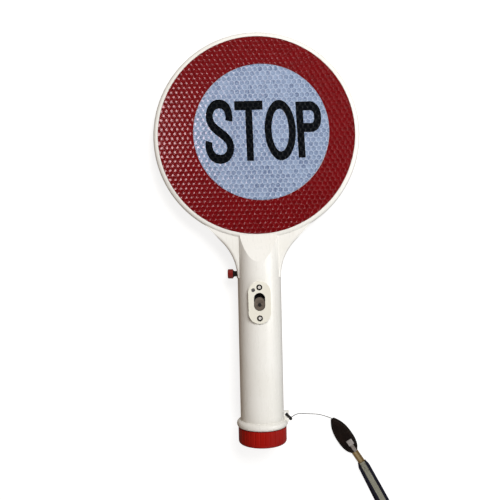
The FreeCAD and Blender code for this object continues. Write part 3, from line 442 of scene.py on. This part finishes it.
def honeycomb(low, high):
    """The corners and edges of the cells over a rectangle, with each cell's inset outlines."""
    index, points, edges = {}, [], set()

    def number(x, y):
        key = (round(x, 3), round(y, 3))
        if key not in index:
            index[key] = len(points)
            points.append(Vector((x, y)))
        return index[key]

    for row in range(math.floor(low[1] / ROW * 2) - 1, math.ceil(high[1] / ROW * 2) + 2):
        shift = PITCH / 2 * (row % 2)
        for column in range(math.floor(low[0] / PITCH) - 1, math.ceil(high[0] / PITCH) + 2):
            middle = (column * PITCH + shift, row * ROW / 2)
            for inset in INSETS:
                reach = CORNER - inset * 2 / 3**0.5
                ring = [
                    number(
                        middle[0] + reach * math.sin(math.radians(60 * k)),
                        middle[1] + reach * math.cos(math.radians(60 * k)),
                    )
                    for k in range(6)
                ]
                edges.update(tuple(sorted(pair)) for pair in zip(ring, ring[1:] + ring[:1]))
    return points, sorted(edges)


def inside(points, loops):
    """Which points are within the loops, holes left out."""
    x, y = points.T
    odd = np.zeros(len(points), bool)
    for loop in loops:
        for (x0, y0), (x1, y1) in zip(loop, loop[1:] + loop[:1]):
            if y0 != y1:
                odd ^= ((y0 > y) != (y1 > y)) & (x < (x1 - x0) * (y - y0) / (y1 - y0) + x0)
    return odd


def loop_edges(count, loops):
    """Each loop's edges, numbered from count on."""
    found = []
    for loop in loops:
        ring = list(range(count, count + len(loop)))
        found += list(zip(ring, ring[1:] + ring[:1]))
        count += len(loop)
    return found


def fill(points, edges, loops):
    """Triangles between the loops that keep to the given edges."""
    border = [Vector(p) for loop in loops for p in loop]
    lines = list(edges) + loop_edges(len(points), loops)
    corners, _, faces, *_ = delaunay_2d_cdt(points + border, lines, [], 0, 1e-4, False)
    corners = np.array(corners)
    faces = np.array(faces)
    return corners, faces[inside(corners[faces].mean(1), loops)]


def rim(faces):
    """The outer edges of a set of triangles, each from one corner to the next."""
    edges = {(int(f[i]), int(f[(i + 1) % 3])) for f in faces for i in range(3)}
    return [edge for edge in edges if edge[::-1] not in edges]


def embossed(name, node, look, side, loops, base, top):
    """A sheet on one side of the sign, with the honeycomb standing out of it. Heights are in mm."""
    every = np.array([p for loop in loops for p in loop])
    corners, faces = fill(*honeycomb(every.min(0), every.max(0)), loops)
    used = np.unique(faces)
    order = np.full(len(corners), -1)
    order[used] = np.arange(len(used))
    corners, faces = corners[used], order[faces]
    relief = seam(corners)
    border = rim(faces)
    around = sorted({i for edge in border for i in edge})
    order_of = {i: k for k, i in enumerate(around)}
    below = {i: len(corners) + k for i, k in order_of.items()}
    walls = [(a, below[a], below[b], b) for a, b in border]
    flat = [Vector(corners[i]) for i in around]
    lines = [(order_of[a], order_of[b]) for a, b in border]
    _, _, under, *_ = delaunay_2d_cdt(flat, lines, [], 0, 1e-6, False)
    under = np.array(under)
    middles = np.array(flat)[under].mean(1)
    under = under[inside(middles, loops)][:, ::-1] + len(corners)
    vertices = [place(side * x, side * (top + SEAM_HEIGHT * h), y) for (x, y), h in zip(corners, relief)]
    vertices += [place(side * p.x, side * base, p.y) for p in flat]
    every_face = [*faces, *walls, *under]
    cells = cell_tone(corners[faces].mean(1))
    numbers = {
        "seal": ("POINT", [*relief, *[0] * len(flat)]),
        "cell": ("FACE", [*cells, *[0] * (len(every_face) - len(cells))]),
    }
    made = piece(name, vertices, every_face, look, numbers)
    for polygon in made.data.polygons[len(faces):]:
        polygon.use_smooth = False
    made.data.set_sharp_from_angle(angle=SHARP_EDGE)
    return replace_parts(made, node)


ROUND_STEPS = 288


def circle(middle, radius):
    """The points of a circle, from its right side round."""
    turns = [2 * math.pi * k / ROUND_STEPS for k in range(ROUND_STEPS)]
    return [(middle[0] + radius * math.cos(t), middle[1] + radius * math.sin(t)) for t in turns]


def round_outline(node, side, grow=0.0):
    """The circle that a round CAD sheet fills, across and up its own side, and its two heights."""
    low, high = own(node).min(0), own(node).max(0)
    middle = (side * (low[0] + high[0]) / 2, (low[2] + high[2]) / 2)
    heights = sorted((side * low[1], side * high[1]))
    return circle(middle, (high[0] - low[0]) / 2 + grow), heights


def printed_outlines(node, side):
    """The outlines of a printed CAD node's outer face, across and up its own side, in mm."""
    points = own(node)
    outer = (side * points[:, 1]).max()
    onto = [(round(side * x, 3), round(z, 3)) for x, _, z in points]
    on_top = side * points[:, 1] > outer - 0.01
    edges = set()
    for polygon in NODES[node].data.polygons:
        ring = [onto[i] for i in polygon.vertices]
        if all(on_top[i] for i in polygon.vertices) and len(set(ring)) == len(ring):
            edges.update(zip(ring, ring[1:] + ring[:1]))
    following = {a: b for a, b in edges if (b, a) not in edges}
    loops = []
    while following:
        start = at = next(iter(sorted(following)))
        loop = []
        while at in following:
            loop.append(at)
            at = following.pop(at)
        if at == start and len(loop) > 2:
            loops.append(loop)
    return loops


RING_GAP = 0.2
INK_HEIGHT = 0.05
for label, side, legend in (("front", FRONT, "stop"), ("rear", REAR, "slow")):
    ring_node, disc_node = label + "_red_ring", label + "_white_disc"
    legend_node = "%s_%s_legend" % (label, legend)
    outer, (base, top) = round_outline(ring_node, side)
    opening, _ = round_outline(disc_node, side, RING_GAP)
    disc, _ = round_outline(disc_node, side)
    embossed(label + "_ring_sheet", ring_node, "red_sheet", side, [outer, opening], base, top)
    embossed(label + "_disc_sheet", disc_node, "white_sheet", side, [disc], base, top)
    letters = printed_outlines(legend_node, side)
    ink_top = top + INK_HEIGHT
    embossed("%s_%s_print" % (label, legend), legend_node, "black_ink", side, letters, top, ink_top)


# ------------------------------------------------------------------ lanyard
def centreline(name, points):
    """The points of the smooth spline that a route's points control, in metres."""
    curve = bpy.data.curves.new(name, "CURVE")
    curve.dimensions = "3D"
    curve.resolution_u = 40
    spline = curve.splines.new("NURBS")
    spline.points.add(len(points) - 1)
    for point, at in zip(spline.points, points):
        point.co = (*at, 1)
    spline.order_u = 3
    spline.use_endpoint_u = True
    holder = bpy.data.objects.new(name, curve)
    bpy.context.scene.collection.objects.link(holder)
    depsgraph = bpy.context.evaluated_depsgraph_get()
    mesh = bpy.data.meshes.new_from_object(holder.evaluated_get(depsgraph))
    found = np.array([v.co for v in mesh.vertices])
    bpy.data.objects.remove(holder)
    return found


def evenly(line, step):
    """A line's points again, one step apart, and how far along each is."""
    gaps = np.linalg.norm(np.diff(line, axis=0), axis=1)
    reached = np.concatenate([[0], np.cumsum(gaps)])
    count = max(3, round(reached[-1] / step)) + 1
    along = np.linspace(0, reached[-1], count)
    return np.column_stack([np.interp(along, reached, line[:, k]) for k in range(3)]), along


def skin(count, size, closed=False):
    """Faces over a row of equal rings. The ends are capped, or the last ring joins the first."""
    faces = []
    for i in range(count if closed else count - 1):
        for j in range(size):
            k, after = (j + 1) % size, (i + 1) % count
            faces.append((i * size + j, i * size + k, after * size + k, after * size + j))
    if not closed:
        faces.append(tuple(range(size))[::-1])
        faces.append(tuple(range((count - 1) * size, count * size)))
    return faces


def frames(line, up):
    """The directions along, across and over a line, at each of its points."""
    along = np.gradient(line, axis=0)
    along /= np.linalg.norm(along, axis=1)[:, None]
    across = np.cross(along, np.asarray(up))
    across /= np.linalg.norm(across, axis=1)[:, None]
    return along, across, np.cross(across, along)


# Sizes below are in mm. Lines, and the thread's radius, are in metres.
EYE_OFFSET = 18.9
EYE_HEIGHT = 22.2
EYE = place(EYE_OFFSET, 0, EYE_HEIGHT)
HITCH_TURN = math.radians(50)
HITCH_WAY = RIGHT * math.cos(HITCH_TURN) - UP * math.sin(HITCH_TURN)
HITCH_SIDE = HITCH_WAY.cross(OUT)
HITCH_RADIUS = 2.3
HITCH_HEIGHT = 2.5
HITCH_SPREAD = 0.8
KNOT_REACH = 5.0
KNOT_START = 3.8
KNOT_LENGTH = 2.6
WRAP_LENGTH = 2.3
WRAP_RADIUS = 1.2
WRAP_COUNT = 5
THREAD_RADIUS = 0.3 * MM
THREAD_START = RIGHT * 0.72 + UP * 0.69

TAB_TIP = Vector((57.0, -148.8, 0)) * MM
TAB_TURN = math.radians(33)
ALONG = Vector((math.sin(TAB_TURN), -math.cos(TAB_TURN), 0))
ACROSS = Vector((math.cos(TAB_TURN), math.sin(TAB_TURN), 0))


def on_tab(along, across, height):
    """A point of the tab, in mm from its tip, in the row frame."""
    return TAB_TIP + (ALONG * along + ACROSS * across + Vector((0, 0, height))) * MM


def hitch_point(along, side, out):
    """A point near the eye, in mm along the thread's way out of it."""
    return EYE + (HITCH_WAY * along + HITCH_SIDE * side + OUT * out) * MM


def loop_point(a, lean):
    """A point of one of the drop-shaped loops, which narrow from the eye to the knot."""
    along = HITCH_RADIUS * (1 + math.cos(a))
    side = lean * (1 - 0.15 * along)
    return hitch_point(along, side, HITCH_HEIGHT * math.sin(a) * (1 - 0.13 * along))


def wrap_point(t):
    """A point of the wraps round the knot, which are widest near their middle."""
    a = 2 * math.pi * WRAP_COUNT * t
    radius = WRAP_RADIUS - 0.4 * abs(2 * t - 0.8)
    return hitch_point(KNOT_START + WRAP_LENGTH * t, radius * math.cos(a), radius * math.sin(a))


def join(name, parts, numbers, look):
    """One piece from several (vertices, faces) parts."""
    vertices, faces = [], []
    for points, sides in parts:
        faces += [tuple(i + len(vertices) for i in side) for side in sides]
        vertices += list(points)
    return piece(name, vertices, faces, look, numbers)


PLY_TURN = 1.6 * MM
PLY_STEPS = 16


def plies(line, radius, up, closed=False):
    """A two-ply thread along a line, whose plies wind once round each other in each turn's length."""
    _, across, over = frames(line, up)
    length = np.concatenate([[0], np.cumsum(np.linalg.norm(np.diff(line, axis=0), axis=1))])
    phase = length / PLY_TURN * 2 * math.pi
    points, relief = [], []
    for middle, side, top, start in zip(line, across, over, phase):
        for k in range(PLY_STEPS):
            a = 2 * math.pi * k / PLY_STEPS
            bulge = abs(math.cos(a - start))
            size = radius * (0.72 + 0.28 * bulge)
            points.append(middle + side * size * math.cos(a) + top * size * math.sin(a))
            # The relief also sets the yarn finish's painted highlight on crowns and painted shade in
            # hollows.
            relief.append(bulge)
    return points, skin(len(line), PLY_STEPS, closed), relief


# the thread from the knot to the tab
CORD_ROUTE = [
    hitch_point(KNOT_REACH, 0, 0) + THREAD_START * MM,
    Vector((26.8, -138.5, 18.6)) * MM,
    Vector((36, -141.1, 12.2)) * MM,
    Vector((48, -143.9, 5)) * MM,
    on_tab(-0.1, 0, 1.7),
]
cord_line, cord_along = evenly(centreline("cord_route", CORD_ROUTE), 0.2 * MM)
points, faces, relief = plies(cord_line, THREAD_RADIUS, (0, 0, 1))
thread = piece("lanyard_thread", points, faces, "cord_black", {"relief": ("POINT", relief)})
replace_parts(thread, "lanyard_cord")

# three loops side by side through the eye, and their knot
turns = np.linspace(0, 2 * math.pi, 97)[:-1]
loops = [
    np.array([loop_point(a, lean) for a in turns]) for lean in (-HITCH_SPREAD, 0, HITCH_SPREAD)
]
wraps = np.array([wrap_point(t) for t in np.linspace(0, 1, 200)])
core = np.array([hitch_point(KNOT_START + KNOT_LENGTH * t, 0, 0) for t in np.linspace(0, 1, 17)])
strands = [plies(loop, 1.4 * THREAD_RADIUS, tuple(HITCH_SIDE), closed=True) for loop in loops]
strands += [
    plies(wraps, THREAD_RADIUS, tuple(HITCH_WAY)),
    plies(core, 3.2 * THREAD_RADIUS, tuple(OUT)),
]
relief = [value for _, _, values in strands for value in values]
shapes = [(points, faces) for points, faces, _ in strands]
hitch = join("thread_hitch", shapes, {"relief": ("POINT", relief)}, "cord_black")
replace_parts(hitch, "cord_hitch")

# leather tab: two layers, split along the edge, sewn round
tab_low, tab_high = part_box("lanyard_tab")
tab_points = np.array([v.co for v in NODES["lanyard_tab"].data.vertices]) - np.array(TAB_TIP)
tab_along = tab_points @ np.array(ALONG) / MM
tab_across = np.abs(tab_points @ np.array(ACROSS)) / MM
TAB_LENGTH = tab_along.max()
TAB_TOP = tab_high.z / MM
TAB_BASE = tab_low.z / MM
TAB_MIDDLE = (TAB_TOP + TAB_BASE) / 2
TAB_HALF_THICK = (TAB_TOP - TAB_BASE) / 2


TAB_WINDOW = 0.7


def tab_half(along):
    """Half the CAD tab's width near a distance from its tip."""
    edge = tab_across[np.abs(tab_along - along) < TAB_WINDOW]
    return float(edge.max()) if len(edge) else 0.0


samples = np.linspace(0, TAB_LENGTH, 60)
widths = np.array([tab_half(u) for u in samples])
widths = np.convolve(np.pad(widths, 2, mode="edge"), np.ones(5) / 5, mode="valid")


def leaf_half(along):
    """Half the leaf's width, with the CAD outline's steps smoothed away."""
    return float(np.interp(along, samples, widths))


def oval(k, steps, power):
    """A point of a squared circle, each way from -1 to 1."""
    a = 2 * math.pi * k / steps
    x, y = math.cos(a), math.sin(a)
    return math.copysign(abs(x) ** power, x), math.copysign(abs(y) ** power, y)


TAB_STEPS = 64
TAB_SQUARENESS = 0.42
SEAM_INSET = 1.25
GROOVE_HALF = 0.32
GROOVE_DEPTH = 0.16
NO_GROOVE_BELOW = 2.2
CROWN = 0.12
SPLIT_HALF = 0.1
SPLIT_DEPTH = 0.14
END_ROUND = 0.9


def leaf_row(u):
    """One ring of the tab's points, at a distance from its tip."""
    near_end = min(u, TAB_LENGTH - u)
    round_off = math.sqrt(max(0.0, 1 - (1 - min(near_end / END_ROUND, 1)) ** 2))
    half = leaf_half(u) - 0.35 * (1 - round_off)
    tall = TAB_HALF_THICK * (0.55 + 0.45 * round_off)
    ring = []
    for k in range(TAB_STEPS):
        x, y = oval(k, TAB_STEPS, TAB_SQUARENESS)
        height = TAB_MIDDLE + y * tall
        if y > 0.5:
            inset = half * (1 - abs(x))
            groove = math.exp(-(((inset - SEAM_INSET) / GROOVE_HALF) ** 2)) if half > NO_GROOVE_BELOW else 0
            height += CROWN * math.cos(x * math.pi / 2) - GROOVE_DEPTH * groove - CROWN
        split = SPLIT_DEPTH * math.exp(-((y / SPLIT_HALF) ** 2)) if abs(x) > 0.9 else 0
        ring.append(on_tab(u, x * (half - split), height))
    return ring


first_rows = [0.0, 0.15, 0.4, 0.8]
middle_rows = list(np.linspace(1.4, TAB_LENGTH - 1.0, 70))
last_rows = [TAB_LENGTH - 0.5, TAB_LENGTH - 0.15, TAB_LENGTH]
leaf_rows = [leaf_row(u) for u in first_rows + middle_rows + last_rows]
leaf = [point for ring in leaf_rows for point in ring]
tab = piece("leather_tab", leaf, skin(len(leaf_rows), TAB_STEPS), "tab_leather")
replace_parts(tab, "lanyard_tab")


BEAD_STEPS = 8
BEAD_RINGS = 7


def beads(ends, radius):
    """Short round-ended stitches, each between two points, lying along the surface."""
    parts = []
    for start, end in ends:
        way = end - start
        half = way.length / 2
        way.normalize()
        side = way.cross(Vector((0, 0, 1))).normalized()
        up = side.cross(way)
        middle = (start + end) / 2
        points = []
        for i in range(BEAD_RINGS):
            a = math.pi * (i + 0.5) / BEAD_RINGS
            wide = math.sin(a) ** 0.6
            for k in range(BEAD_STEPS):
                b = 2 * math.pi * k / BEAD_STEPS
                points.append(
                    middle
                    - way * half * math.cos(a)
                    + side * radius * wide * math.cos(b)
                    + up * radius * wide * math.sin(b)
                )
        parts.append((points, skin(BEAD_RINGS, BEAD_STEPS)))
    return parts


STITCH_STEP = 0.1 * MM
STITCH_LENGTH = 13
STITCH_PITCH = 18


def seam_stitches():
    """The stitches down both sides of the tab and round its tip, counted in steps along the seam."""
    path = [(u, leaf_half(u) - SEAM_INSET) for u in np.linspace(3.2, TAB_LENGTH - 1.2, 160)]
    line = [(u, -v) for u, v in reversed(path)] + [(2.3, 0.0)] + path
    line = np.array([on_tab(u, v, TAB_TOP - 0.12) for u, v in line])
    line, _ = evenly(line, STITCH_STEP)
    starts = range(0, len(line) - STITCH_LENGTH, STITCH_PITCH)
    return [(Vector(line[k]), Vector(line[k + STITCH_LENGTH])) for k in starts]


stitches = join("tab_stitches", beads(seam_stitches(), 0.17 * MM), None, "stitch_thread")

# square rivet with a raised middle and rounded edges
RIVET_SIDE = 4.8
RIVET_THICK = 0.8
RIVET_BORDER = 0.75
RIVET_RISE = 0.28
RIVET_ROUND = 0.2
rivet_at = on_tab(24, 1.2, TAB_TOP + 0.3)
rivet_mesh = bmesh.new()
bmesh.ops.create_cube(rivet_mesh, size=1)
rivet_size = Vector((RIVET_SIDE, RIVET_SIDE, RIVET_THICK)) * MM
bmesh.ops.scale(rivet_mesh, vec=rivet_size, verts=rivet_mesh.verts)
top_face = max(rivet_mesh.faces, key=lambda f: f.calc_center_median().z)
bmesh.ops.inset_region(rivet_mesh, faces=[top_face], thickness=RIVET_BORDER * MM, depth=0)
bmesh.ops.translate(rivet_mesh, vec=(0, 0, RIVET_RISE * MM), verts=top_face.verts)
bmesh.ops.bevel(
    rivet_mesh,
    geom=rivet_mesh.edges[:],
    offset=RIVET_ROUND * MM,
    segments=3,
    profile=0.6,
    affect="EDGES",
)
bmesh.ops.transform(
    rivet_mesh,
    matrix=Matrix.Translation(rivet_at) @ Matrix.Rotation(TAB_TURN, 4, "Z"),
    verts=rivet_mesh.verts,
)
rivet = piece(
    "tab_rivet_head",
    [v.co.copy() for v in rivet_mesh.verts],
    [[v.index for v in f.verts] for f in rivet_mesh.faces],
    "rivet_silver",
)
rivet_mesh.free()
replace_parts(rivet, "tab_rivet")


LATHE_STEPS = 40


def lathe(rows, at, axis):
    """A round piece turned about an axis. Rows are (radius, height) in mm, from the rim to the middle."""
    side = axis.cross(RIGHT).normalized()
    across = side.cross(axis)
    points = []
    for radius, height in rows:
        for k in range(LATHE_STEPS):
            a = 2 * math.pi * k / LATHE_STEPS
            spoke = across * math.cos(a) + side * math.sin(a)
            points.append(at + (axis * height + spoke * radius) * MM)
    return points, skin(len(rows), LATHE_STEPS)


# plate screws: rims in a dark finish that is painted shade for the counterbores, round sockets in pale dull
# steel that is a painted highlight
SCREW_ROWS = [
    (2.15, 0),
    (2.2, 0.12),
    (2.2, 0.42),
    (2.1, 0.55),
    (1.9, 0.58),
    (1.35, 0.35),
    (1.2, 0.33),
    (1.15, 0.62),
    (1.05, 0.76),
    (0.6, 0.86),
    (0.5, 0.84),
    (0.42, 0.55),
    (0.05, 0.5),
]
SOCKET_FROM = 6
SCREW_SINK = 0.8
screws = own("plate_screws")
between = screws[:, 2].mean()
screw_points, screw_faces, painted_highlight_faces = [], [], []
for screw in (screws[screws[:, 2] > between], screws[screws[:, 2] < between]):
    middle = (screw.min(0) + screw.max(0)) / 2
    at = place(middle[0], screw[:, 1].max() - SCREW_SINK, middle[2])
    points, faces = lathe(SCREW_ROWS, at, OUT)
    # Faces from SOCKET_FROM on take the painted highlight; the rest take the painted shade.
    painted_highlight_faces += [face[0] // LATHE_STEPS >= SOCKET_FROM for face in faces]
    screw_faces += [tuple(i + len(screw_points) for i in face) for face in faces]
    screw_points += points
screw_heads = piece("plate_screw_heads", screw_points, screw_faces, "painted_shade_rim", slot="steel")
screw_heads.data.materials.append(LOOKS["painted_highlight_socket"])
for polygon, painted_highlight_face in zip(screw_heads.data.polygons, painted_highlight_faces):
    polygon.material_index = int(painted_highlight_face)
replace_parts(screw_heads, "plate_screws")

# grip nub on the slider, in black plastic: its black is painted shade at the slider's middle
slider = own("switch_slider")
slider_middle = (slider.min(0) + slider.max(0)) / 2
NUB_DROP = 0.6
NUB_ROWS = [(1.45, -0.3), (1.4, 0.05), (1.15, 0.28), (0.8, 0.36), (0.45, 0.22), (0.05, 0.16)]
nub_at = place(slider_middle[0], slider[:, 1].max(), slider_middle[2] - NUB_DROP)
piece("slider_nub", *lathe(NUB_ROWS, nub_at, OUT), "black_plastic", body="slider")


# woven bands
def rounded_edge(inward, half):
    """How thick a band is this far in from its edge, as a share of its full thickness."""
    return 1.0 if inward >= half else max(0.3, math.sqrt(1 - (1 - inward / half) ** 2))


def woven(name, line, over, widths, thickness, look, columns, yarn_pitch, relief_height):
    """A flat band with a plain weave standing on both faces. Sizes are in mm, the line in metres."""
    along, across, over = frames(line, over)
    steps = np.linalg.norm(np.diff(line, axis=0), axis=1) / MM
    reached = np.concatenate([[0], np.cumsum(steps)])
    spread = np.linspace(-1, 1, columns)
    points, relief, sides = [], [], []
    for middle, side, top, s, width in zip(line, across, over, reached, widths):
        for face in (1, -1):
            for x in spread * face:
                a = x * width / 2
                shape = rounded_edge(width / 2 - abs(a), thickness * 0.45)
                odd = round(a / yarn_pitch) % 2
                crown = 0.5 + 0.5 * face * math.sin(math.pi * (s / yarn_pitch + odd))
                reach = (thickness / 2 - relief_height * (1 - crown)) * shape
                points.append(middle + (side * a + top * face * reach) * MM)
                # The relief also sets the yarn finish's painted highlight on crowns and painted shade in
                # hollows.
                relief.append(crown)
                sides.append(a)
    numbers = {"relief": ("POINT", relief), "across": ("POINT", sides)}
    return piece(name, points, skin(len(line), 2 * columns), look, numbers)


# ribbon between the tab and the strap
BAND_STEP = 0.25
LINK_START, LINK_END = 21.5, 47.81
LINK_HEIGHT = 1.75
LINK_WIDTH = 5.5
LINK_THICK = 0.9
link_line = np.array([on_tab(u, 0, LINK_HEIGHT) for u in np.arange(LINK_START, LINK_END, BAND_STEP)])
link = woven(
    "ribbon_link",
    link_line,
    np.tile((0.0, 0.0, 1.0), (len(link_line), 1)),
    [LINK_WIDTH] * len(link_line),
    LINK_THICK,
    "link_cloth",
    columns=23,
    yarn_pitch=0.5,
    relief_height=0.12,
)
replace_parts(link, "lanyard_link")

# silver tongue from the rivet over the tab's end to the ribbon, with no weave on it
TONGUE_OFFSET = 0.9
TONGUE_WIDTH = 2.8
TONGUE_THICK = 0.45
TONGUE_ROUTE = [(25.6, 3.45), (27.5, 3.45), (29.5, 3.45), (31.6, 3.4), (32.9, 2.7)]
tongue_route = [on_tab(u, TONGUE_OFFSET, z) for u, z in TONGUE_ROUTE]
tongue_line, _ = evenly(centreline("tongue_route", tongue_route), BAND_STEP * MM)
tongue = woven(
    "rivet_tongue",
    tongue_line,
    np.tile((0.0, 0.0, 1.0), (len(tongue_line), 1)),
    [TONGUE_WIDTH] * len(tongue_line),
    TONGUE_THICK,
    "tongue_silver",
    columns=13,
    yarn_pitch=1.5,
    relief_height=0.0,
)

# wrist strap, whose upper leg lies on its lower leg where both are sewn to the ribbon
STRAP_START = on_tab(43.3, 0, 0)
STRAP_TURN = math.radians(26.2)
DOWN = Vector((math.sin(STRAP_TURN), -math.cos(STRAP_TURN), 0))
SIDE = Vector((math.cos(STRAP_TURN), math.sin(STRAP_TURN), 0))
STRAP_WIDTH = 9.2
STRAP_THICK = 1.2
STRAP_TAPER = 2.2
UPPER_LEG = 2.85
FLOOR_GAP = 0.12
STRAP_ROUTE = [
    (0, 0, UPPER_LEG),
    (29, 0.9, 3.05),
    (58, 1.6, 4.5),
    (96, 40, 5.2),
    (140, 24, 5.3),
    (140, -24, 5.3),
    (96, -40, 5.2),
    (58, -1.2, 0.9),
    (29, -0.5, 0.65),
    (0, 0, 0.65),
]
route = [STRAP_START + (DOWN * u + SIDE * v + Vector((0, 0, z))) * MM for u, v, z in STRAP_ROUTE]
strap_line, strap_along = evenly(centreline("strap_route", route), 0.4 * MM)
away = (strap_line - np.array(STRAP_START)) / MM
off = np.abs(away @ np.array(SIDE))
down = away @ np.array(DOWN)


def smooth(value, low, high):
    """From 0 to 1, with a soft start and end, as the value goes from low to high."""
    t = np.clip((value - low) / (high - low), 0, 1)
    return t * t * (3 - 2 * t)


# The strap lies flat where its two ends are sewn together, and stands on its edge round the loop.
standing = np.maximum(smooth(off, 6, 26), smooth(down, 74, 104))
room = np.clip((away[:, 2] - FLOOR_GAP - STRAP_THICK / 2) / (STRAP_WIDTH / 2), 0, 1)
tip = np.minimum(standing * math.pi / 2, np.arcsin(room))
heading = np.gradient(strap_line, axis=0)
level = np.cross(heading, (0, 0, 1.0))
level /= np.linalg.norm(level, axis=1)[:, None]
strap_over = np.sin(tip)[:, None] * level + np.cos(tip)[:, None] * np.array((0, 0, 1.0))
from_end = np.minimum(strap_along, strap_along[-1] - strap_along) / MM
strap_widths = STRAP_WIDTH - STRAP_TAPER * (1 - smooth(from_end, 0, 4.5))
strap = woven(
    "wrist_strap",
    strap_line,
    strap_over,
    strap_widths,
    STRAP_THICK,
    "strap_cloth",
    columns=29,
    yarn_pitch=0.8,
    relief_height=0.14,
)
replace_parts(strap, "lanyard_strap")

# the strap's ends are sewn through with a crossed box of stitches
BOX_TOP = UPPER_LEG + STRAP_THICK / 2 - 0.05
BOX_STITCH = 1.6
BOX = [(1.6, -2.2), (8.6, -2.2), (8.6, 2.2), (1.6, 2.2)]
box_lines = [*zip(BOX, BOX[1:] + BOX[:1]), (BOX[0], BOX[2]), (BOX[1], BOX[3])]
sewn = []
for (u0, v0), (u1, v1) in box_lines:
    count = round(math.hypot(u1 - u0, v1 - v0) / BOX_STITCH)
    for k in range(count):
        ends = []
        for t in ((k + 0.14) / count, (k + 0.86) / count):
            u, v = u0 + (u1 - u0) * t, v0 + (v1 - v0) * t
            ends.append(STRAP_START + (DOWN * u + SIDE * v + Vector((0, 0, BOX_TOP))) * MM)
        sewn.append(tuple(ends))
box_stitches = join("strap_stitches", beads(sewn, 0.16 * MM), None, "stitch_thread")

# ------------------------------------------------------------------ stage, light and camera
FLOOR_HALF = 3
floor_corners = [(x * FLOOR_HALF, y * FLOOR_HALF, 0) for x, y in ((-1, -1), (1, -1), (1, 1), (-1, 1))]
floor_mesh = bpy.data.meshes.new("floor")
floor_mesh.from_pydata(floor_corners, [], [(0, 1, 2, 3)])
floor = bpy.data.objects.new("floor", floor_mesh)
bpy.context.scene.collection.objects.link(floor)
ground = Finish("floor_paper")
ground.set("Base Color", ground.mix(ground.noise(3), (0.36, 0.36, 0.36), (0.35, 0.35, 0.346)))
ground.set("Roughness", 0.9)
ground.set("Emission Color", (1, 1, 1, 1))
ground.set("Emission Strength", 0.8)
floor_mesh.materials.append(ground.material)
floor.visible_diffuse = False
floor.visible_glossy = False


def lamp(name, at, aim=(0, 0, 0), diffuse=True, gloss=True, **settings):
    """A square light that shines from a place towards another, in metres in the row frame."""
    light = bpy.data.lights.new(name, "AREA")
    for key, value in settings.items():
        setattr(light, key, value)
    holder = bpy.data.objects.new(name, light)
    holder.location = at
    holder.rotation_euler = (Vector(aim) - Vector(at)).to_track_quat("-Z", "Y").to_euler()
    holder.visible_diffuse = diffuse
    holder.visible_glossy = gloss
    bpy.context.scene.collection.objects.link(holder)
    return holder


KEY_TINT = (1, 0.99, 0.975)
GLINT_TINT = (1, 0.74, 0.77)
lamp("key", (0.22, 0.38, 0.7), (0, 0.02, 0), gloss=False, energy=7.0, size=0.4, color=KEY_TINT)
lamp("right_softbox", (0.5, 0.05, 0.35), diffuse=False, energy=1.2, size=0.4)
lamp("fill", (0.16, -0.6, 0.4), (0, -0.1, 0), gloss=False, energy=1.2, size=0.4)

# The glint lights only the front sheets, whose seams sparkle in it.
glint_at, glint_aim = (-0.15, 0.13, 0.24), (-0.05, 0.08, 0.03)
glint = lamp("glint", glint_at, glint_aim, diffuse=False, energy=0.4, size=0.08, color=GLINT_TINT)
sheets = bpy.data.collections.new("sheets")
for name in ("front_ring_sheet", "front_disc_sheet"):
    sheets.objects.link(bpy.data.objects[name])
glint.light_linking.receiver_collection = sheets

# The room's light is warm on the left and pale on the right, and dark overhead. The room that shows
# behind the floor is plain and pale.
WARM_SIDE = (0.17, 0.112, 0.064, 1)
PALE_SIDE = (0.36, 0.36, 0.355, 1)
BACKDROP = (0.93, 0.93, 0.925, 1)


def ranged(value, low, high, to_low=0.0, to_high=1.0):
    """A socket's value stretched from one range to another."""
    made = nodes.new("ShaderNodeMapRange")
    links.new(value, made.inputs["Value"])
    made.inputs["From Min"].default_value = low
    made.inputs["From Max"].default_value = high
    made.inputs["To Min"].default_value = to_low
    made.inputs["To Max"].default_value = to_high
    return made.outputs["Result"]


world = bpy.data.worlds.new("studio")
world.use_nodes = True
nodes, links = world.node_tree.nodes, world.node_tree.links
direction = nodes.new("ShaderNodeTexCoord").outputs["Generated"]
parts = nodes.new("ShaderNodeSeparateXYZ")
links.new(direction, parts.inputs["Vector"])
blend = nodes.new("ShaderNodeMixRGB")
links.new(ranged(parts.outputs["X"], -1.0, 0.9), blend.inputs["Fac"])
blend.inputs["Color1"].default_value = WARM_SIDE
blend.inputs["Color2"].default_value = PALE_SIDE
links.new(blend.outputs["Color"], nodes["Background"].inputs["Color"])
overhead = ranged(parts.outputs["Z"], 0.7, 0.9, 1.0, 0.02)
links.new(overhead, nodes["Background"].inputs["Strength"])
backdrop = nodes.new("ShaderNodeBackground")
backdrop.inputs["Color"].default_value = BACKDROP
seen = nodes.new("ShaderNodeMixShader")
links.new(nodes.new("ShaderNodeLightPath").outputs["Is Camera Ray"], seen.inputs["Fac"])
links.new(nodes["Background"].outputs["Background"], seen.inputs[1])
links.new(backdrop.outputs["Background"], seen.inputs[2])
links.new(seen.outputs["Shader"], nodes["World Output"].inputs["Surface"])
bpy.context.scene.world = world
bpy.context.scene.view_settings.view_transform = "Standard"

# The camera's place is in mm along the paddle's axes, and its turn is in degrees about them.
CAMERA_AT = (4.59, 505.54, 154.52)
CAMERA_TURN = Vector((-0.365, 1.256, 1.289))
CAMERA_LENS = 46.286
SENSOR = 36
upright = Matrix((RIGHT, -OUT, UP)).transposed()
turned = upright @ Matrix.Rotation(math.radians(CAMERA_TURN.length), 3, CAMERA_TURN.normalized())
right, forward, up = (turned.col[k] for k in range(3))
lens_data = bpy.data.cameras.new("camera")
lens_data.lens = CAMERA_LENS
lens_data.sensor_width = SENSOR
camera = bpy.data.objects.new("camera", lens_data)
aimed = Matrix((right, up, -forward)).transposed().to_4x4()
camera.matrix_world = Matrix.Translation(place(*CAMERA_AT)) @ aimed
bpy.context.scene.collection.objects.link(camera)
bpy.context.scene.camera = camera
